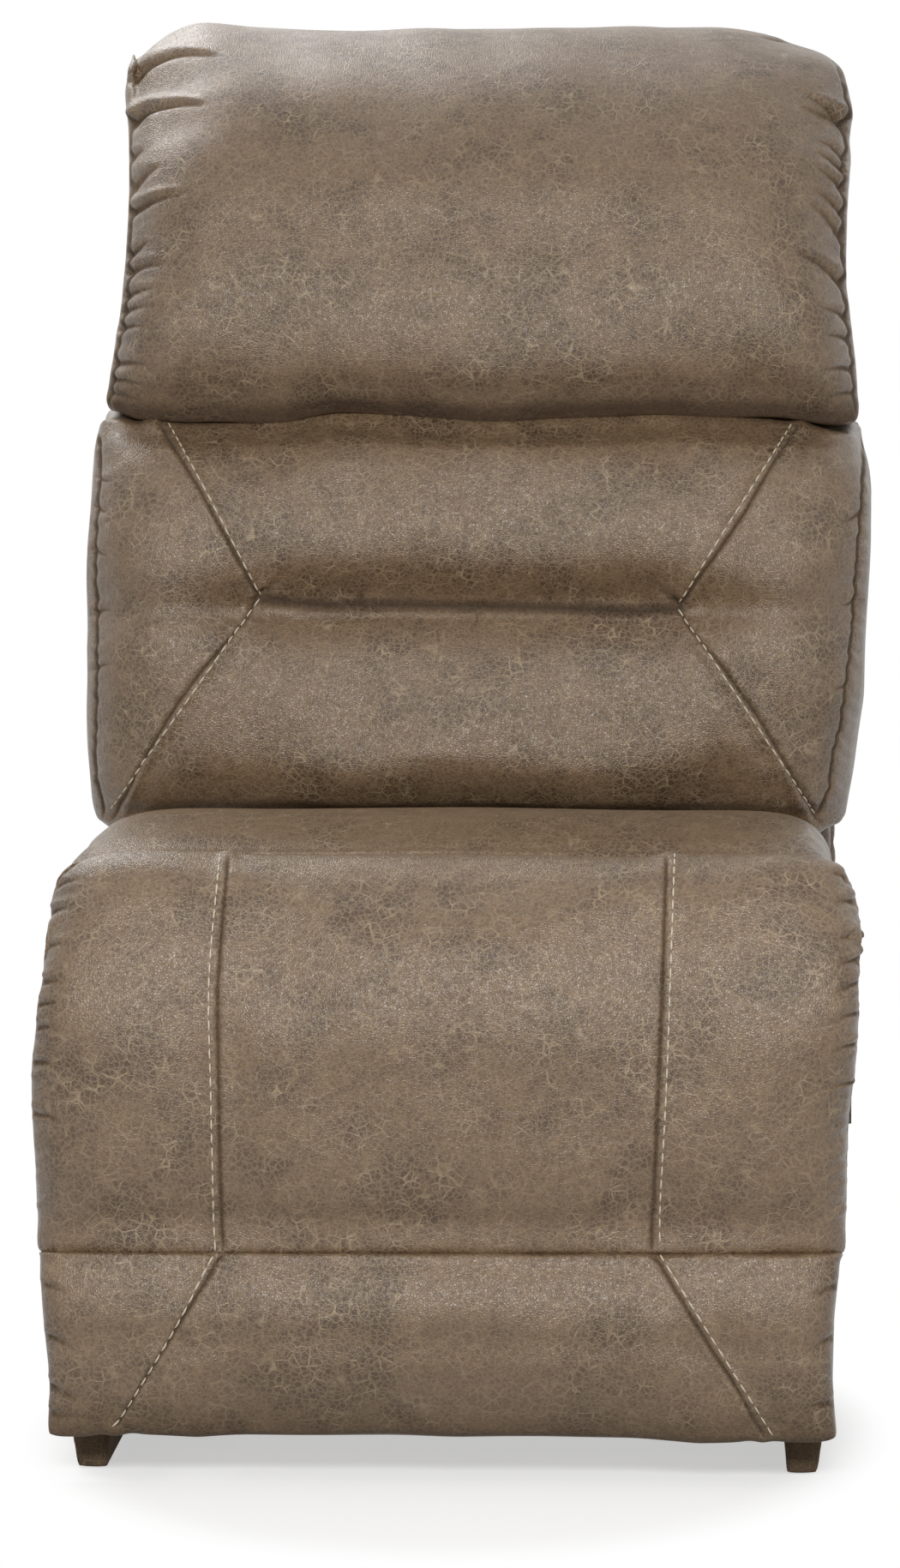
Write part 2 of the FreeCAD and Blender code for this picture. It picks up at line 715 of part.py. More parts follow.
def spring_strand(x, y_start, y_end, z):
    """One zigzag seat spring: bars across joined by half circles, as a single round wire."""
    pitch, half, wire = D["spring_pitch"].value, D["spring_half"].value, D["spring_wire"].value
    bend = pitch * 0.5
    bars = int((y_end - y_start) / pitch) + 1
    edges = []
    side = 1
    for i in range(bars):
        y = y_start + i * pitch
        a, b = Vector(x - side * half, y, z), Vector(x + side * half, y, z)
        edges.append(Part.LineSegment(a, b).toShape())
        if i + 1 < bars:
            top = Vector(x + side * half, y + pitch, z)
            turn = Vector(x + side * (half + bend), y + bend, z)
            edges.append(Part.Arc(b, turn, top).toShape())
        side = -side
    ring = Part.Wire([Part.Circle(edges[0].Vertexes[0].Point, Vector(1, 0, 0), wire).toShape()])
    sweep = Part.BRepOffsetAPI.MakePipeShell(Part.Wire(edges))
    sweep.add(ring)
    sweep.build()
    sweep.makeSolid()
    return sweep.shape(), y_start + (bars - 1) * pitch


def make_seat_springs():
    """Zigzag springs from the front rail to the rear rail, each held by a clip at both ends."""
    on_rail = D["deck_top"].value
    z = on_rail + D["spring_wire"].value + 0.5
    wide, deep, high = D["clip_wide"].value, D["clip_deep"].value, D["clip_high"].value
    bore_radius = D["spring_wire"].value + 0.1
    start, end = D["deck_front"].value + 12, D["deck_rear"].value - 8
    strands, clips = [], []
    for i in range(SPRING_COUNT):
        x = (i - (SPRING_COUNT - 1) / 2) * D["spring_spacing"].value
        shape, last = spring_strand(x, start, end, z)
        strands.append(shape)
        for y in (start, last):
            block = Part.makeBox(wide, deep, high, Vector(x - wide / 2, y - deep / 2, on_rail))
            bore = Part.makeCylinder(bore_radius, wide * 2, Vector(x - wide, y, z), Vector(1, 0, 0))
            clips.append(block.cut(bore))
    for name, shapes in (("seat_springs", strands), ("spring_clips", clips)):
        thing = doc.addObject("Part::Feature", name)
        thing.Shape = Part.makeCompound(shapes)
        node(name, thing)


def make_seat_foam():
    """A slab of foam on the springs, between the side panels."""
    half = D["side_panel_inner"] - 3
    y = (D["deck_front"] + 6, D["seat_rear"] - 14)
    node("seat_foam", box("seat_foam", (-half, half), y, (D["foam_low"], D["seat_cushion_low"] - 1)))


def make_seat_cushion():
    """The seat: highest behind its front seam, sinking towards the crease of the back."""
    low, crown = D["seat_cushion_low"].value, D["seat_crown"].value
    front, rear = D["deck_front"].value - 2, D["seat_rear"].value
    peak_y = 0.5 * (front + rear) - 40
    round_deep, round_high = 30, 10
    side_lift, side_drop, rear_side_drop = 6, 26, 22
    front_drop, peak_drop, rear_drop = 17, 8, 37

    def outline(draw, across):
        lift = side_lift * (1 - (across / D["cushion_half"].value) ** 2)
        top_front = crown - front_drop + lift - side_drop * draw
        top_peak = crown - peak_drop + lift - side_drop * draw
        top_rear = crown - rear_drop + lift - rear_side_drop * draw
        return closed_edges(
            (front, low),
            [
                (front, top_front),
                ((peak_y, top_peak), (rear - round_deep, top_rear)),
                ((rear - 8, top_rear - round_high), (rear, low + 12)),
                (rear, low),
            ],
        )

    node("seat_cushion", loft_cushion("seat_cushion", D["cushion_half"].value, 30, outline))


def make_side_panels():
    """Upholstered side boards of the seat; the right one has the slot of the pull tab."""
    y = (D["deck_front"] - 27, D["side_panel_rear"])
    z = (D["side_panel_low"], D["seat_cushion_low"] - 1)
    for side, sign in SIDES.items():
        name = side + "_seat_panel"
        x = ordered(sign, D["side_panel_inner"], D["side_panel_outer"])
        board = box(name + "_board", x, y, z)
        if side == "right":
            half_y, half_z = D["tab_wide"] * 0.5 + 2, D["tab_thick"] * 0.5 + 2
            slot = box(
                name + "_slot",
                (x[0] - CLEAR, x[1] + CLEAR),
                (D["tab_y"] - half_y, D["tab_y"] + half_y),
                (D["tab_z"] - half_z, D["tab_z"] + half_z),
            )
            board = cut(name, board, slot)
        node(name, board)


def make_panel_blocks():
    """Blocks that carry the side panels on the side plates."""
    high = (D["block_low"], D["block_top"])
    blocks = []
    for sign in SIDES.values():
        x = ordered(sign, D["plate_inner"] + D["plate_thick"], D["side_panel_inner"])
        for start in PANEL_BLOCKS:
            blocks.append(box("panel_block", x, (start, D["block_long"] + start), high))
    node("panel_blocks", group("panel_blocks", *blocks))


# Footrest


def moving_pivot(fixed_y, fixed_z):
    return fixed_y + D["throw_y"], fixed_z + D["throw_z"]


def arm_x(sign):
    near = D["plate_inner"] + D["plate_thick"] + D["link_gap"]
    return ordered(sign, near, near + D["link_thick"])


def link_x(sign):
    near = D["plate_inner"] + D["plate_thick"] + D["link_thick"] + D["link_gap"] * 2
    return ordered(sign, near, near + D["link_thick"])


def make_footrest_board():
    half, front = D["footrest_board_half"], D["board_front"]
    depth = (front, front + D["footrest_board_thick"])
    high = (D["footrest_board_low"], D["footrest_board_top"])
    node("footrest_board", box("footrest_board", (-half, half), depth, high))


def make_footrest_arms():
    """Arms that hang from the footrest pivots, each with a flange screwed to the board."""
    face = D["board_front"] + D["footrest_board_thick"]
    near = D["plate_inner"] + D["plate_thick"] + D["link_gap"]
    py, pz = D["pole_y"], D["pole_z"]
    by, bz = moving_pivot(py, pz)
    low, thick = D["flange_low"], D["sheet_thick"]
    down_the_board = [
        (py - 12, pz - 12),
        (py + 16, pz - 17),
        (face, D["footrest_board_top"] + 8),
        (face, low),
        (face + 32, low),
    ]
    past_the_link_pin = [(by + 14, bz + 20), (py + 44, pz - 16)]
    over_the_pivot = [(py + 10, pz + 13), (py - 12, pz + 12)]
    corners = down_the_board + past_the_link_pin + over_the_pivot
    holes = [(py, pz, D["pin_radius"] + D["run_gap"]), (by, bz, D["pin_radius"])]
    screws = []
    for side, sign in SIDES.items():
        name = side + "_footrest_arm"
        web = side_sheet(name + "_web", arm_x(sign), corners, holes)
        across = ordered(sign, near, near + D["flange_wide"])
        flange = box(name + "_flange", across, (face, face + thick), (low, D["flange_top"]))
        node(name, fuse(name, web, flange))
        heads = (face + thick, face + thick + D["screw_head_high"])
        for z in ARM_SCREWS:
            screws.append(rod_y("arm_screw", D["screw_head"], heads, (near + 18) * sign, z))
    node("arm_screws", group("arm_screws", *screws))
    make_link_pins("arm_link_pins", by, bz)


def make_link_pins(name, y, z):
    """Pins fixed in an arm or crank, on whose outer end a drive link turns."""
    arm = D["plate_inner"] + D["plate_thick"] + D["link_gap"]
    link = arm + D["link_thick"] + D["link_gap"]
    far = link + D["link_thick"] + D["end_play"]
    head, low_head_high = D["head_radius"] - 1, 1.4
    pins = []
    for sign in SIDES.values():
        steps = [
            (arm - low_head_high, arm, head),
            (arm, far, D["pin_radius"]),
            (arm + D["link_thick"], link - D["end_play"], head),
            (far, far + D["head_high"], head),
        ]
        pins.append(stepped_pin(name[:-1], sign, y, z, steps))
    node(name, group(name, *pins))


def make_drive():
    """The drive tube turns in the side plates; its cranks push the footrest through the links."""
    ty, tz = D["tube_y"], D["tube_z"]
    cy, cz = moving_pivot(ty, tz)
    by, bz = moving_pivot(D["pole_y"], D["pole_z"])
    reach = D["plate_inner"] + D["plate_thick"] + D["link_gap"] + D["link_thick"]
    outside = rod("drive_tube_bar", D["tube_radius"], (-reach, reach), ty, tz)
    inside = D["tube_radius"] - D["tube_wall"]
    bore = rod("drive_tube_bore", inside, (-reach - CLEAR, reach + CLEAR), ty, tz)
    crank_corners = [
        (ty + 4, tz + 18),
        (ty - 16, tz + 10),
        (ty - 16, tz - 8),
        (cy - 12, cz - 3),
        (cy - 4, cz - 12),
        (cy + 10, cz - 8),
        (cy + 12, cz + 6),
        (ty + 20, tz),
    ]
    link_corners = [
        (cy - 8, cz - 11),
        (cy + 12, cz - 6),
        (cy + 8, cz + 11),
        (by + 8, bz + 11),
        (by - 12, bz + 6),
        (by - 8, bz - 11),
    ]
    link_holes = [
        (cy, cz, D["pin_radius"] + D["run_gap"]),
        (by, bz, D["pin_radius"] + D["open_gap"]),
    ]
    welded = [outside]
    for side, sign in SIDES.items():
        crank, link = side + "_crank", side + "_drive_link"
        welded.append(side_sheet(crank, arm_x(sign), crank_corners, [(cy, cz, D["pin_radius"])]))
        node(link, side_sheet(link, link_x(sign), link_corners, link_holes))
    node("drive_tube", cut("drive_tube", fuse("drive_tube_weldment", *welded), bore))
    make_link_pins("crank_link_pins", cy, cz)


def make_chaise_pad():
    """The roll over the front, from the seat's front seam down to the lower seam.

    Its front bulges between the seam and the crown. Inside, it stands off the footrest arms.
    """
    front, crown, seam = D["pad_front"].value, D["pad_crown"].value, D["pad_seam_z"].value
    py, pz = D["pole_y"].value, D["pole_z"].value
    back, rear = D["board_front"].value - 0.5, D["deck_front"].value - 5
    over_board = D["footrest_board_top"].value + 26
    bow, end_push, end_drop = 5, 26, 34

    def outline(draw, across):
        bowed = bow * (across / D["pad_half"].value) ** 2
        push, drop = end_push * draw + bowed, end_drop * draw + bowed
        wall, step, roof = py - 17 + 20 * draw, over_board - end_drop * draw, pz + 18 - 40 * draw
        rear_top = crown - 6 - 0.8 * drop
        nose = (front + 25 + push, crown - 22 - drop)
        widest = (front + push, pz - 25 - 0.6 * drop)
        return closed_edges(
            (back, seam + 1),
            [
                (back, step),
                (wall, step + 6),
                (wall, roof),
                (rear, roof),
                (rear, rear_top),
                ((py + 12, crown - 1 - drop), nose),
                ((front + 5 + push, crown - 48 - drop), widest),
                ((front + 2 + push, pz - 130), (front + 19 + push, seam + 1)),
            ],
        )

    node("chaise_pad", loft_cushion("chaise_pad", D["pad_half"].value, 36, outline))


def make_bolster():
    """The lower roll of the footrest, from the seam down to the hem."""
    front, seam, hem = D["pad_front"].value, D["pad_seam_z"].value, D["hem_z"].value
    back, half = D["board_front"].value - 0.5, D["pad_half"].value - 5
    bow, end_push, end_lift = 4, 22, 8

    def outline(draw, across):
        push = end_push * draw + bow * (across / D["pad_half"].value) ** 2
        lift = end_lift * draw
        widest = (front + 7 + push, 0.5 * (seam + hem) - 6)
        return closed_edges(
            (back, hem + lift),
            [
                (back, seam - 1),
                (front + 17 + push, seam - 1),
                ((front + 3 + push, seam - 34), widest),
                ((front + 13 + push, hem + 24), (front + 30 + push, hem + lift)),
            ],
        )

    node("footrest_bolster", loft_cushion("footrest_bolster", half, 26, outline))


# Back


def post_inner():
    return D["plate_inner"] - D["bracket_gap"] - D["bracket_thick"] - D["post_thick"]


def post_x(sign):
    return ordered(sign, post_inner(), post_inner() + D["post_thick"])


def cushion_rear():
    """How far inside the outside back's rear face the cushions of the back begin."""
    return D["outside_back_thick"] + D["post_deep"] + D["web_thick"] + 1


def make_back_frame():
    """Two posts and three cross rails that lean with the back, and the panel behind them."""
    skin = D["outside_back_thick"]
    deep = skin + D["post_deep"]
    for side, sign in SIDES.items():
        name = side + "_back_post"
        x = post_x(sign)
        post = lean_box(name + "_bar", x, (deep, skin), (D["post_low"], D["post_top"]))
        through = (x[0] - CLEAR, x[1] + CLEAR)
        bores = [rod(name + "_bore", D["bolt_hole"], through, y, z) for y, z in BRACKET_BOLTS]
        node(name, cut(name, post, *bores))
    half, high = post_inner(), D["back_rail_high"]
    for name, start, depth in (
        ("bottom_back_rail", D["post_low"], D["back_rail_deep"]),
        ("middle_back_rail", D["middle_rail_low"], D["back_rail_deep"]),
        ("top_back_rail", D["post_top"] - high, D["post_deep"]),
    ):
        node(name, lean_box(name, (-half, half), (skin + depth, skin), (start, start + high)))
    wide, long = D["outside_back_half"], D["outside_back_long"]
    node("outside_back", lean_box("outside_back", (-wide, wide), (skin, 0), (0, long)))


def make_back_sides():
    """Upholstered boards beside the posts, from the outside back to the cushions."""
    for side, sign in SIDES.items():
        name = side + "_back_side"
        x = ordered(sign, D["side_panel_inner"], D["side_panel_outer"])
        along = (D["back_side_low"], D["back_side_top"])
        depth = (cushion_rear(), D["outside_back_thick"])
        node(name, lean_box(name, x, depth, along))


def make_back_webbing():
    """Elastic straps across the fronts of the posts, behind the cushions."""
    front = D["outside_back_thick"] + D["post_deep"]
    reach = post_inner() + D["post_thick"]
    straps = []
    for i in range(STRAP_COUNT):
        start = D["strap_first"] + D["web_pitch"] * i
        depth = (front + D["web_thick"], front)
        straps.append(lean_box("back_strap", (-reach, reach), depth, (start, start + D["web_wide"])))
    node("back_webbing", group("back_webbing", *straps))


def make_back_brackets():
    """Steel brackets from the back pivots up the outer faces of the posts."""
    hy, hz = D["hinge_y"], D["hinge_z"]
    under_the_pivot = [(hy - 15, hz - 12), (hy + 8, hz - 16)]
    up_the_rear = [(hy + 80, hz + 40), (hy + 100, hz + 90), (hy + 121, hz + 190)]
    down_the_front = [(hy + 96, hz + 196), (hy + 60, hz + 92), (hy - 12, hz + 14)]
    corners = under_the_pivot + up_the_rear + down_the_front
    holes = [(hy, hz, D["pin_radius"] + D["run_gap"])]
    holes += [(y, z, D["bolt_hole"]) for y, z in BRACKET_BOLTS]
    steel = D["plate_inner"] - D["bracket_gap"]
    head = (D["flat_head"], D["flat_head_high"])
    bolts = []
    for side, sign in SIDES.items():
        name = side + "_back_bracket"
        node(name, side_sheet(name, bracket_x(sign), corners, holes))
        for spot in BRACKET_BOLTS:
            bolts.append(through_bolt("bracket_bolt", sign, post_inner(), steel, spot, head))
    node("bracket_bolts", group("bracket_bolts", *bolts))


def make_lumbar_cushion():
    """Two soft lobes over a sewn tuck that fades out towards the sides."""
    low, tuck, top = D["lumbar_low"].value, D["lumbar_tuck_z"].value, D["head_seam_z"].value - 1
    half, inside = D["lumbar_half"].value, cushion_rear().value
    tuck_y, tuck_deep, end_push, bow = 66, 40, 46, 10
    top_y, upper_lobe_y, lower_lobe_y, bottom_y = 142, 84, 58, 104

    def outline(draw, across):
        fade = max(0.0, 1 - (across / (0.75 * half)) ** 4)
        push = end_push * draw + bow * (across / half) ** 2
        bottom, upper = low + 8 * draw, top - 4 * draw
        waist = (tuck_y + tuck_deep * fade + push, tuck)
        return closed_edges(
            (rear_line(bottom, inside), bottom),
            [
                (rear_line(upper, inside), upper),
                (top_y + push, upper),
                ((upper_lobe_y - 6 * (1 - fade) + push, tuck + 74), waist),
                ((lower_lobe_y + push, tuck - 96), (bottom_y + push, bottom)),
            ],
        )

    node("lumbar_cushion", loft_cushion("lumbar_cushion", half, 34, outline))


def make_headrest():
    """The headrest pillow, which rolls over the top of the back onto its rear."""
    seam, top = D["head_seam_z"].value + 1, D["head_top"].value
    half, inside = D["head_half"].value, cushion_rear().value
    lean = math.radians(D["back_lean"].value)
    post_top = D["back_foot_z"].value + D["post_top"].value * math.cos(lean)
    shelf = post_top + D["post_deep"].value * math.sin(lean) + 6
    rear = rear_line(shelf) + 1
    end_push, end_drop, bow, sag = 62, 30, 12, 4
    seam_y, face_y, brow_y, crown_y = 140, 104, 250, 340
    face_z = 900

    def outline(draw, across):
        push = end_push * draw + bow * (across / half) ** 2
        drop = end_drop * draw + sag * (across / half) ** 2
        over_rear = (rear + 8 - 10 * draw, shelf + 52 - 0.5 * drop)
        rear_top = (rear - 36, top - 14 - drop)
        brow = (brow_y + 0.4 * push, top - 28 - drop)
        forehead = (160 + 0.8 * push, 1000 - 0.6 * drop)
        face = (face_y + push, face_z)
        return closed_edges(
            (rear_line(seam, inside), seam),
            [
                (rear_line(shelf, inside), shelf),
                (rear, shelf),
                (over_rear, rear_top),
                ((crown_y, top - drop), brow),
                (forehead, face),
                ((face_y - 7 + push, face_z - 54), (seam_y + push, seam)),
            ],
        )

    node("headrest_cushion", loft_cushion("headrest_cushion", half, 40, outline))


# Release


def make_release():
    """A webbing tab on the right side with its ring, and the grommet of its slot."""
    y, z, wide, thick = D["tab_y"], D["tab_z"], D["tab_wide"], D["tab_thick"]
    panel, lever = D["side_panel_outer"], D["latch_x"]
    stem_end, ring_end = panel + 5, lever + 12
    across = (y - wide * 0.5, y + wide * 0.5)
    stem_z = (z - thick * 0.5, z + thick * 0.5)
    stem = box("pull_tab_stem", (ring_end, stem_end), across, stem_z)
    flap = box("pull_tab_flap", (stem_end, stem_end + 6), across, (z - 48, stem_z[1]))
    node("pull_tab", fuse("pull_tab", stem, flap))
    ring_x, ring_bar = (lever - 5.6, ring_end), 3
    ring = box("tab_ring_bar", ring_x, across, stem_z)
    eye_x = (ring_x[0] + ring_bar, ring_x[1] - ring_bar)
    eye_y = (across[0] + ring_bar + 1, across[1] - ring_bar - 1)
    eye = box("tab_ring_eye", eye_x, eye_y, (z - CLEAR, z + CLEAR))
    node("tab_ring", cut("tab_ring", ring, eye))
    rim_x = (panel, panel + D["grommet_thick"])
    rim = box("tab_grommet_rim", rim_x, (y - 21, y + 21), (z - 12, z + 12))
    slot_x = (panel - CLEAR, panel + CLEAR)
    slot_z = (stem_z[0] - 1, stem_z[1] + 1)
    slot = box("tab_grommet_slot", slot_x, (across[0] - 1, across[1] + 1), slot_z)
    node("tab_grommet", cut("tab_grommet", rim, slot))


def make_latch():
    """The latch lever, which stands in the tab's ring, with its pin and bracket."""
    y, lx, lz, radius = D["tab_y"], D["latch_x"], D["latch_z"], D["latch_pin_radius"]
    half_lever, half_stem = D["lever_thick"] * 0.5, 1.5
    top = lz + D["lever_high"]
    stem = [(lx - half_stem, top), (lx - half_stem, lz + 8)]
    hub_and_hook = [(lx - 5.5, lz), (lx - 2, lz - 26), (lx + 4, lz - 26), (lx + 7, lz)]
    back_up = [(lx + half_stem, lz + 8), (lx + half_stem, top)]
    lever_y = (y - half_lever, y + half_lever)
    corners = stem + hub_and_hook + back_up
    hole = (lx, lz, radius + D["run_gap"])
    node("release_latch", cross_sheet("release_latch", lever_y, corners, [hole]))
    wall, thick, square = D["side_panel_inner"], D["sheet_thick"], 16
    base_y, base_z = (y - square, y + square), (lz - square, lz + square)
    base = box("latch_bracket_base", (wall - thick, wall), base_y, base_z)
    ears = [
        box("latch_bracket_ear", (lx - 5, wall - thick), (y + at, y + at + thick), (lz - 9, lz + 9))
        for at in (-9, 6)
    ]
    reach = (base_y[0] - CLEAR, base_y[1] + CLEAR)
    bore = rod_y("latch_bracket_bore", radius, reach, lx, lz)
    node("latch_bracket", cut("latch_bracket", fuse("latch_bracket_body", base, *ears), bore))
    node("latch_pin", rod_y("latch_pin", radius, (y - 11, y + 11), lx, lz))


def make_all():
    make_rails()
    make_glides()
    make_stretchers()
    make_tracks()
    make_connectors()
    make_base_screws()
    make_side_plates()
    make_seat_box()
    make_plate_bolts()
    make_shoes()
    make_cross_tubes()
    make_bushes()
    make_pivot_pins()
    make_seat_springs()
    make_seat_foam()
    make_seat_cushion()
    make_side_panels()
    make_panel_blocks()
    make_footrest_board()
    make_footrest_arms()
    make_drive()
    make_chaise_pad()
    make_bolster()
    make_back_frame()
    make_back_sides()
    make_back_webbing()
    make_back_brackets()
    make_lumbar_cushion()
    make_headrest()
    make_release()
    make_latch()


def check_all():
    """Stop at an object that failed to compute or a piece with no valid solid."""
    for thing in doc.Objects:
        if "Invalid" in thing.State or "Error" in thing.State:
            raise RuntimeError("%s did not compute: %s" % (thing.Name, thing.State))
    for name, thing in nodes.items():
        shape = thing.Shape
        if shape.isNull() or not shape.isValid() or not shape.Solids:
            raise RuntimeError("%s has no valid solid" % name)


def write_all():
    os.makedirs("parts", exist_ok=True)
    for name, thing in nodes.items():
        thing.Shape.exportStep("parts/%s.step" % name)
        found = thing.Shape
        litres = sum(solid.Volume for solid in found.Solids) / 1e6
        print("%-22s %2d solids %8.4f litres" % (name, len(found.Solids), litres))


make_all()
doc.recompute()
check_all()
write_all()
whole = Part.makeCompound([thing.Shape for thing in nodes.values()]).BoundBox
print("%d pieces, %.1f x %.1f x %.1f mm" % (len(nodes), whole.XLength, whole.YLength, whole.ZLength))
print("x %.1f to %.1f, y %.1f to %.1f, z %.1f to %.1f" % (
    whole.XMin, whole.XMax, whole.YMin, whole.YMax, whole.ZMin, whole.ZMax))
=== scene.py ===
# %% [markdown]
# # An armless recliner in distressed faux leather
# The construction comes first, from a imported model: frame, mechanism and plain soft solids, each at
# its real size and on the body that moves it. This script dresses it. Each soft solid becomes a
# puffed, sewn cushion, each board that is wrapped in cover gets soft edges, and the steel, timber and
# nylon inside get their finishes. Everything is in metres, +Z is up and the front faces -Y.

# %% Load the frame
import bmesh
import bpy
import json
import math
import numpy as np
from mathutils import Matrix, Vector
from mathutils.bvhtree import BVHTree


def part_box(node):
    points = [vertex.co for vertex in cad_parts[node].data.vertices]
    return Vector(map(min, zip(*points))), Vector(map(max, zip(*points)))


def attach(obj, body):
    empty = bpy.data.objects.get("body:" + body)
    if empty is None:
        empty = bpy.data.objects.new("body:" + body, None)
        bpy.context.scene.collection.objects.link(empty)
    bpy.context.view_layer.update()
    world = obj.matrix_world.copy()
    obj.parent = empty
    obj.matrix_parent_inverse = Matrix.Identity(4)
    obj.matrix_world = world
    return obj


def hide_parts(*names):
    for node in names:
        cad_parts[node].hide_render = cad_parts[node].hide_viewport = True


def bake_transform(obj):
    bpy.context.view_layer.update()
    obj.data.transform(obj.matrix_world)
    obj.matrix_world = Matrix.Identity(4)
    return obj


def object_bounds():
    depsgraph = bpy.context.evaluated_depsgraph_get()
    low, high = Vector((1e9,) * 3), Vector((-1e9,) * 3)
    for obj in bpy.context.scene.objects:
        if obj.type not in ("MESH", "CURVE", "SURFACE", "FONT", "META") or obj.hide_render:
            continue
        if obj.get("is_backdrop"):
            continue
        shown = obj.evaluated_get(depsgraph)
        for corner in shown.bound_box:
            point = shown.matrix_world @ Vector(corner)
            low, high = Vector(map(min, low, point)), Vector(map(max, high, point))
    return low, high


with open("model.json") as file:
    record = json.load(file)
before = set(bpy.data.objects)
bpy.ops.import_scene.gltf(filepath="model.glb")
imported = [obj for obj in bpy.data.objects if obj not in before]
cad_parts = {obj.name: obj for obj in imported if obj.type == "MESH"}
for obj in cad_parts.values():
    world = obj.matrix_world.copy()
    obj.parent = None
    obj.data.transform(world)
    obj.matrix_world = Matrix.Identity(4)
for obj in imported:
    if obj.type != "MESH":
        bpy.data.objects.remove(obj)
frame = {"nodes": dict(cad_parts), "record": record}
CAD_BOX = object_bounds()
NODES = frame["nodes"]
MM = 0.001

# %% [markdown]
# ## The viewpoint
# The photograph was taken from a little to the right, with a long lens. Many details below, such as
# seams and folds, are easiest to place where the photograph shows them. So the camera's geometry is
# written once, as a few named values, and used twice: for the camera, and to turn a pixel into a
# place on a cushion. A pixel is always (column, row) in the whole photograph.

# %% Camera geometry
PHOTO = (1050, 1829)
AZIMUTH = math.radians(2.5)
PITCH = math.radians(4.85)
DISTANCE = 5.5
EYE_HEIGHT = 0.95
FOCAL_PIXELS = 7990
PAN = math.radians(0.172)
HEADING = AZIMUTH + PAN

EYE = np.array([math.sin(AZIMUTH) * DISTANCE, -math.cos(AZIMUTH) * DISTANCE, EYE_HEIGHT])
LEVEL = np.array([-math.sin(HEADING), math.cos(HEADING), 0])
FORWARD = LEVEL * math.cos(PITCH) - [0, 0, math.sin(PITCH)]
RIGHT = np.cross(FORWARD, [0, 0, 1])
RIGHT /= np.linalg.norm(RIGHT)
UP = np.cross(RIGHT, FORWARD)


def to_photo(points):
    """Pixel of each point: its offset to the right and up, over its depth, times the focal length."""
    offset = points - EYE
    scale = FOCAL_PIXELS / (offset @ FORWARD)
    column = PHOTO[0] / 2 + scale * (offset @ RIGHT)
    row = PHOTO[1] / 2 - scale * (offset @ UP)
    return np.stack([column, row], axis=1)


def metre_per_pixel(points):
    """The width of one pixel at each point: its depth over the focal length."""
    return ((points - EYE) @ FORWARD) / FOCAL_PIXELS


def ray_of(pixel):
    """Direction from the eye through a pixel: forward, plus the pixel's offset over the focal length."""
    across = (pixel[0] - PHOTO[0] / 2) / FOCAL_PIXELS
    down = (pixel[1] - PHOTO[1] / 2) / FOCAL_PIXELS
    return FORWARD + across * RIGHT - down * UP


print("one pixel is %.2f mm at 5 m" % (5 / MM / FOCAL_PIXELS))


# %% Camera
def new_object(name, data):
    """An object at the origin of the scene that shows a mesh, a lamp or a camera."""
    made = bpy.data.objects.new(name, data)
    bpy.context.scene.collection.objects.link(made)
    return made


def turn_to(thing, direction):
    """Turn a camera or a lamp, which look along their own -Z, to a direction."""
    thing.rotation_euler = Vector(direction).to_track_quat("-Z", "Y").to_euler()


camera_data = bpy.data.cameras.new("camera")
camera_data.sensor_width = 36
camera_data.lens = FOCAL_PIXELS / PHOTO[1] * camera_data.sensor_width
camera_data.clip_end = 100
camera = new_object("camera", camera_data)
camera.location = EYE
turn_to(camera, FORWARD)
bpy.context.scene.camera = camera
bpy.context.scene.view_settings.view_transform = "Standard"
print("lens %.0f mm" % camera_data.lens)

# %% [markdown]
# ## Materials
# A material is a small graph of nodes. One function turns a hex colour, as a painter reads it off a
# screen, into the linear values that light is added up in. Another adds a node, sets its properties
# and joins its inputs, so each material below reads from top to bottom like a recipe.


# %% Colour and node helpers
def linear(code):
    """Linear colour of an sRGB hex code: each channel c becomes ((c + 0.055) / 1.055) to the 2.4."""
    channels = [int(code[i : i + 2], 16) / 255 for i in (1, 3, 5)]
    curved = [c / 12.92 if c <= 0.04045 else ((c + 0.055) / 1.055) ** 2.4 for c in channels]
    return (*curved, 1.0)


def add(tree, kind, inputs=None, **settings):
    """Add a node. An input takes a value, a hex colour, a socket, or another node's first output."""
    made = tree.nodes.new("ShaderNode" + kind)
    for name, value in settings.items():
        setattr(made, name, value)
    for socket, value in (inputs or {}).items():
        if isinstance(value, bpy.types.Node):
            value = value.outputs[0]
        if isinstance(value, bpy.types.NodeSocket):
            tree.links.new(value, made.inputs[socket])
        else:
            made.inputs[socket].default_value = linear(value) if isinstance(value, str) else value
    return made


def empty_graph(owner):
    """The node tree of a new material or world, without the nodes that it comes with."""
    owner.use_nodes = True
    owner.node_tree.nodes.clear()
    return owner.node_tree


def per_metre(millimetres):
    """How often a pattern of this size repeats in a metre."""
    return 1000 / millimetres


# Sockets of a Mix node that mixes colours
FACTOR, FIRST, SECOND, RESULT = 0, 6, 7, 2
print("blue of #84745F is %.3f in linear light" % linear("#84745F")[2])
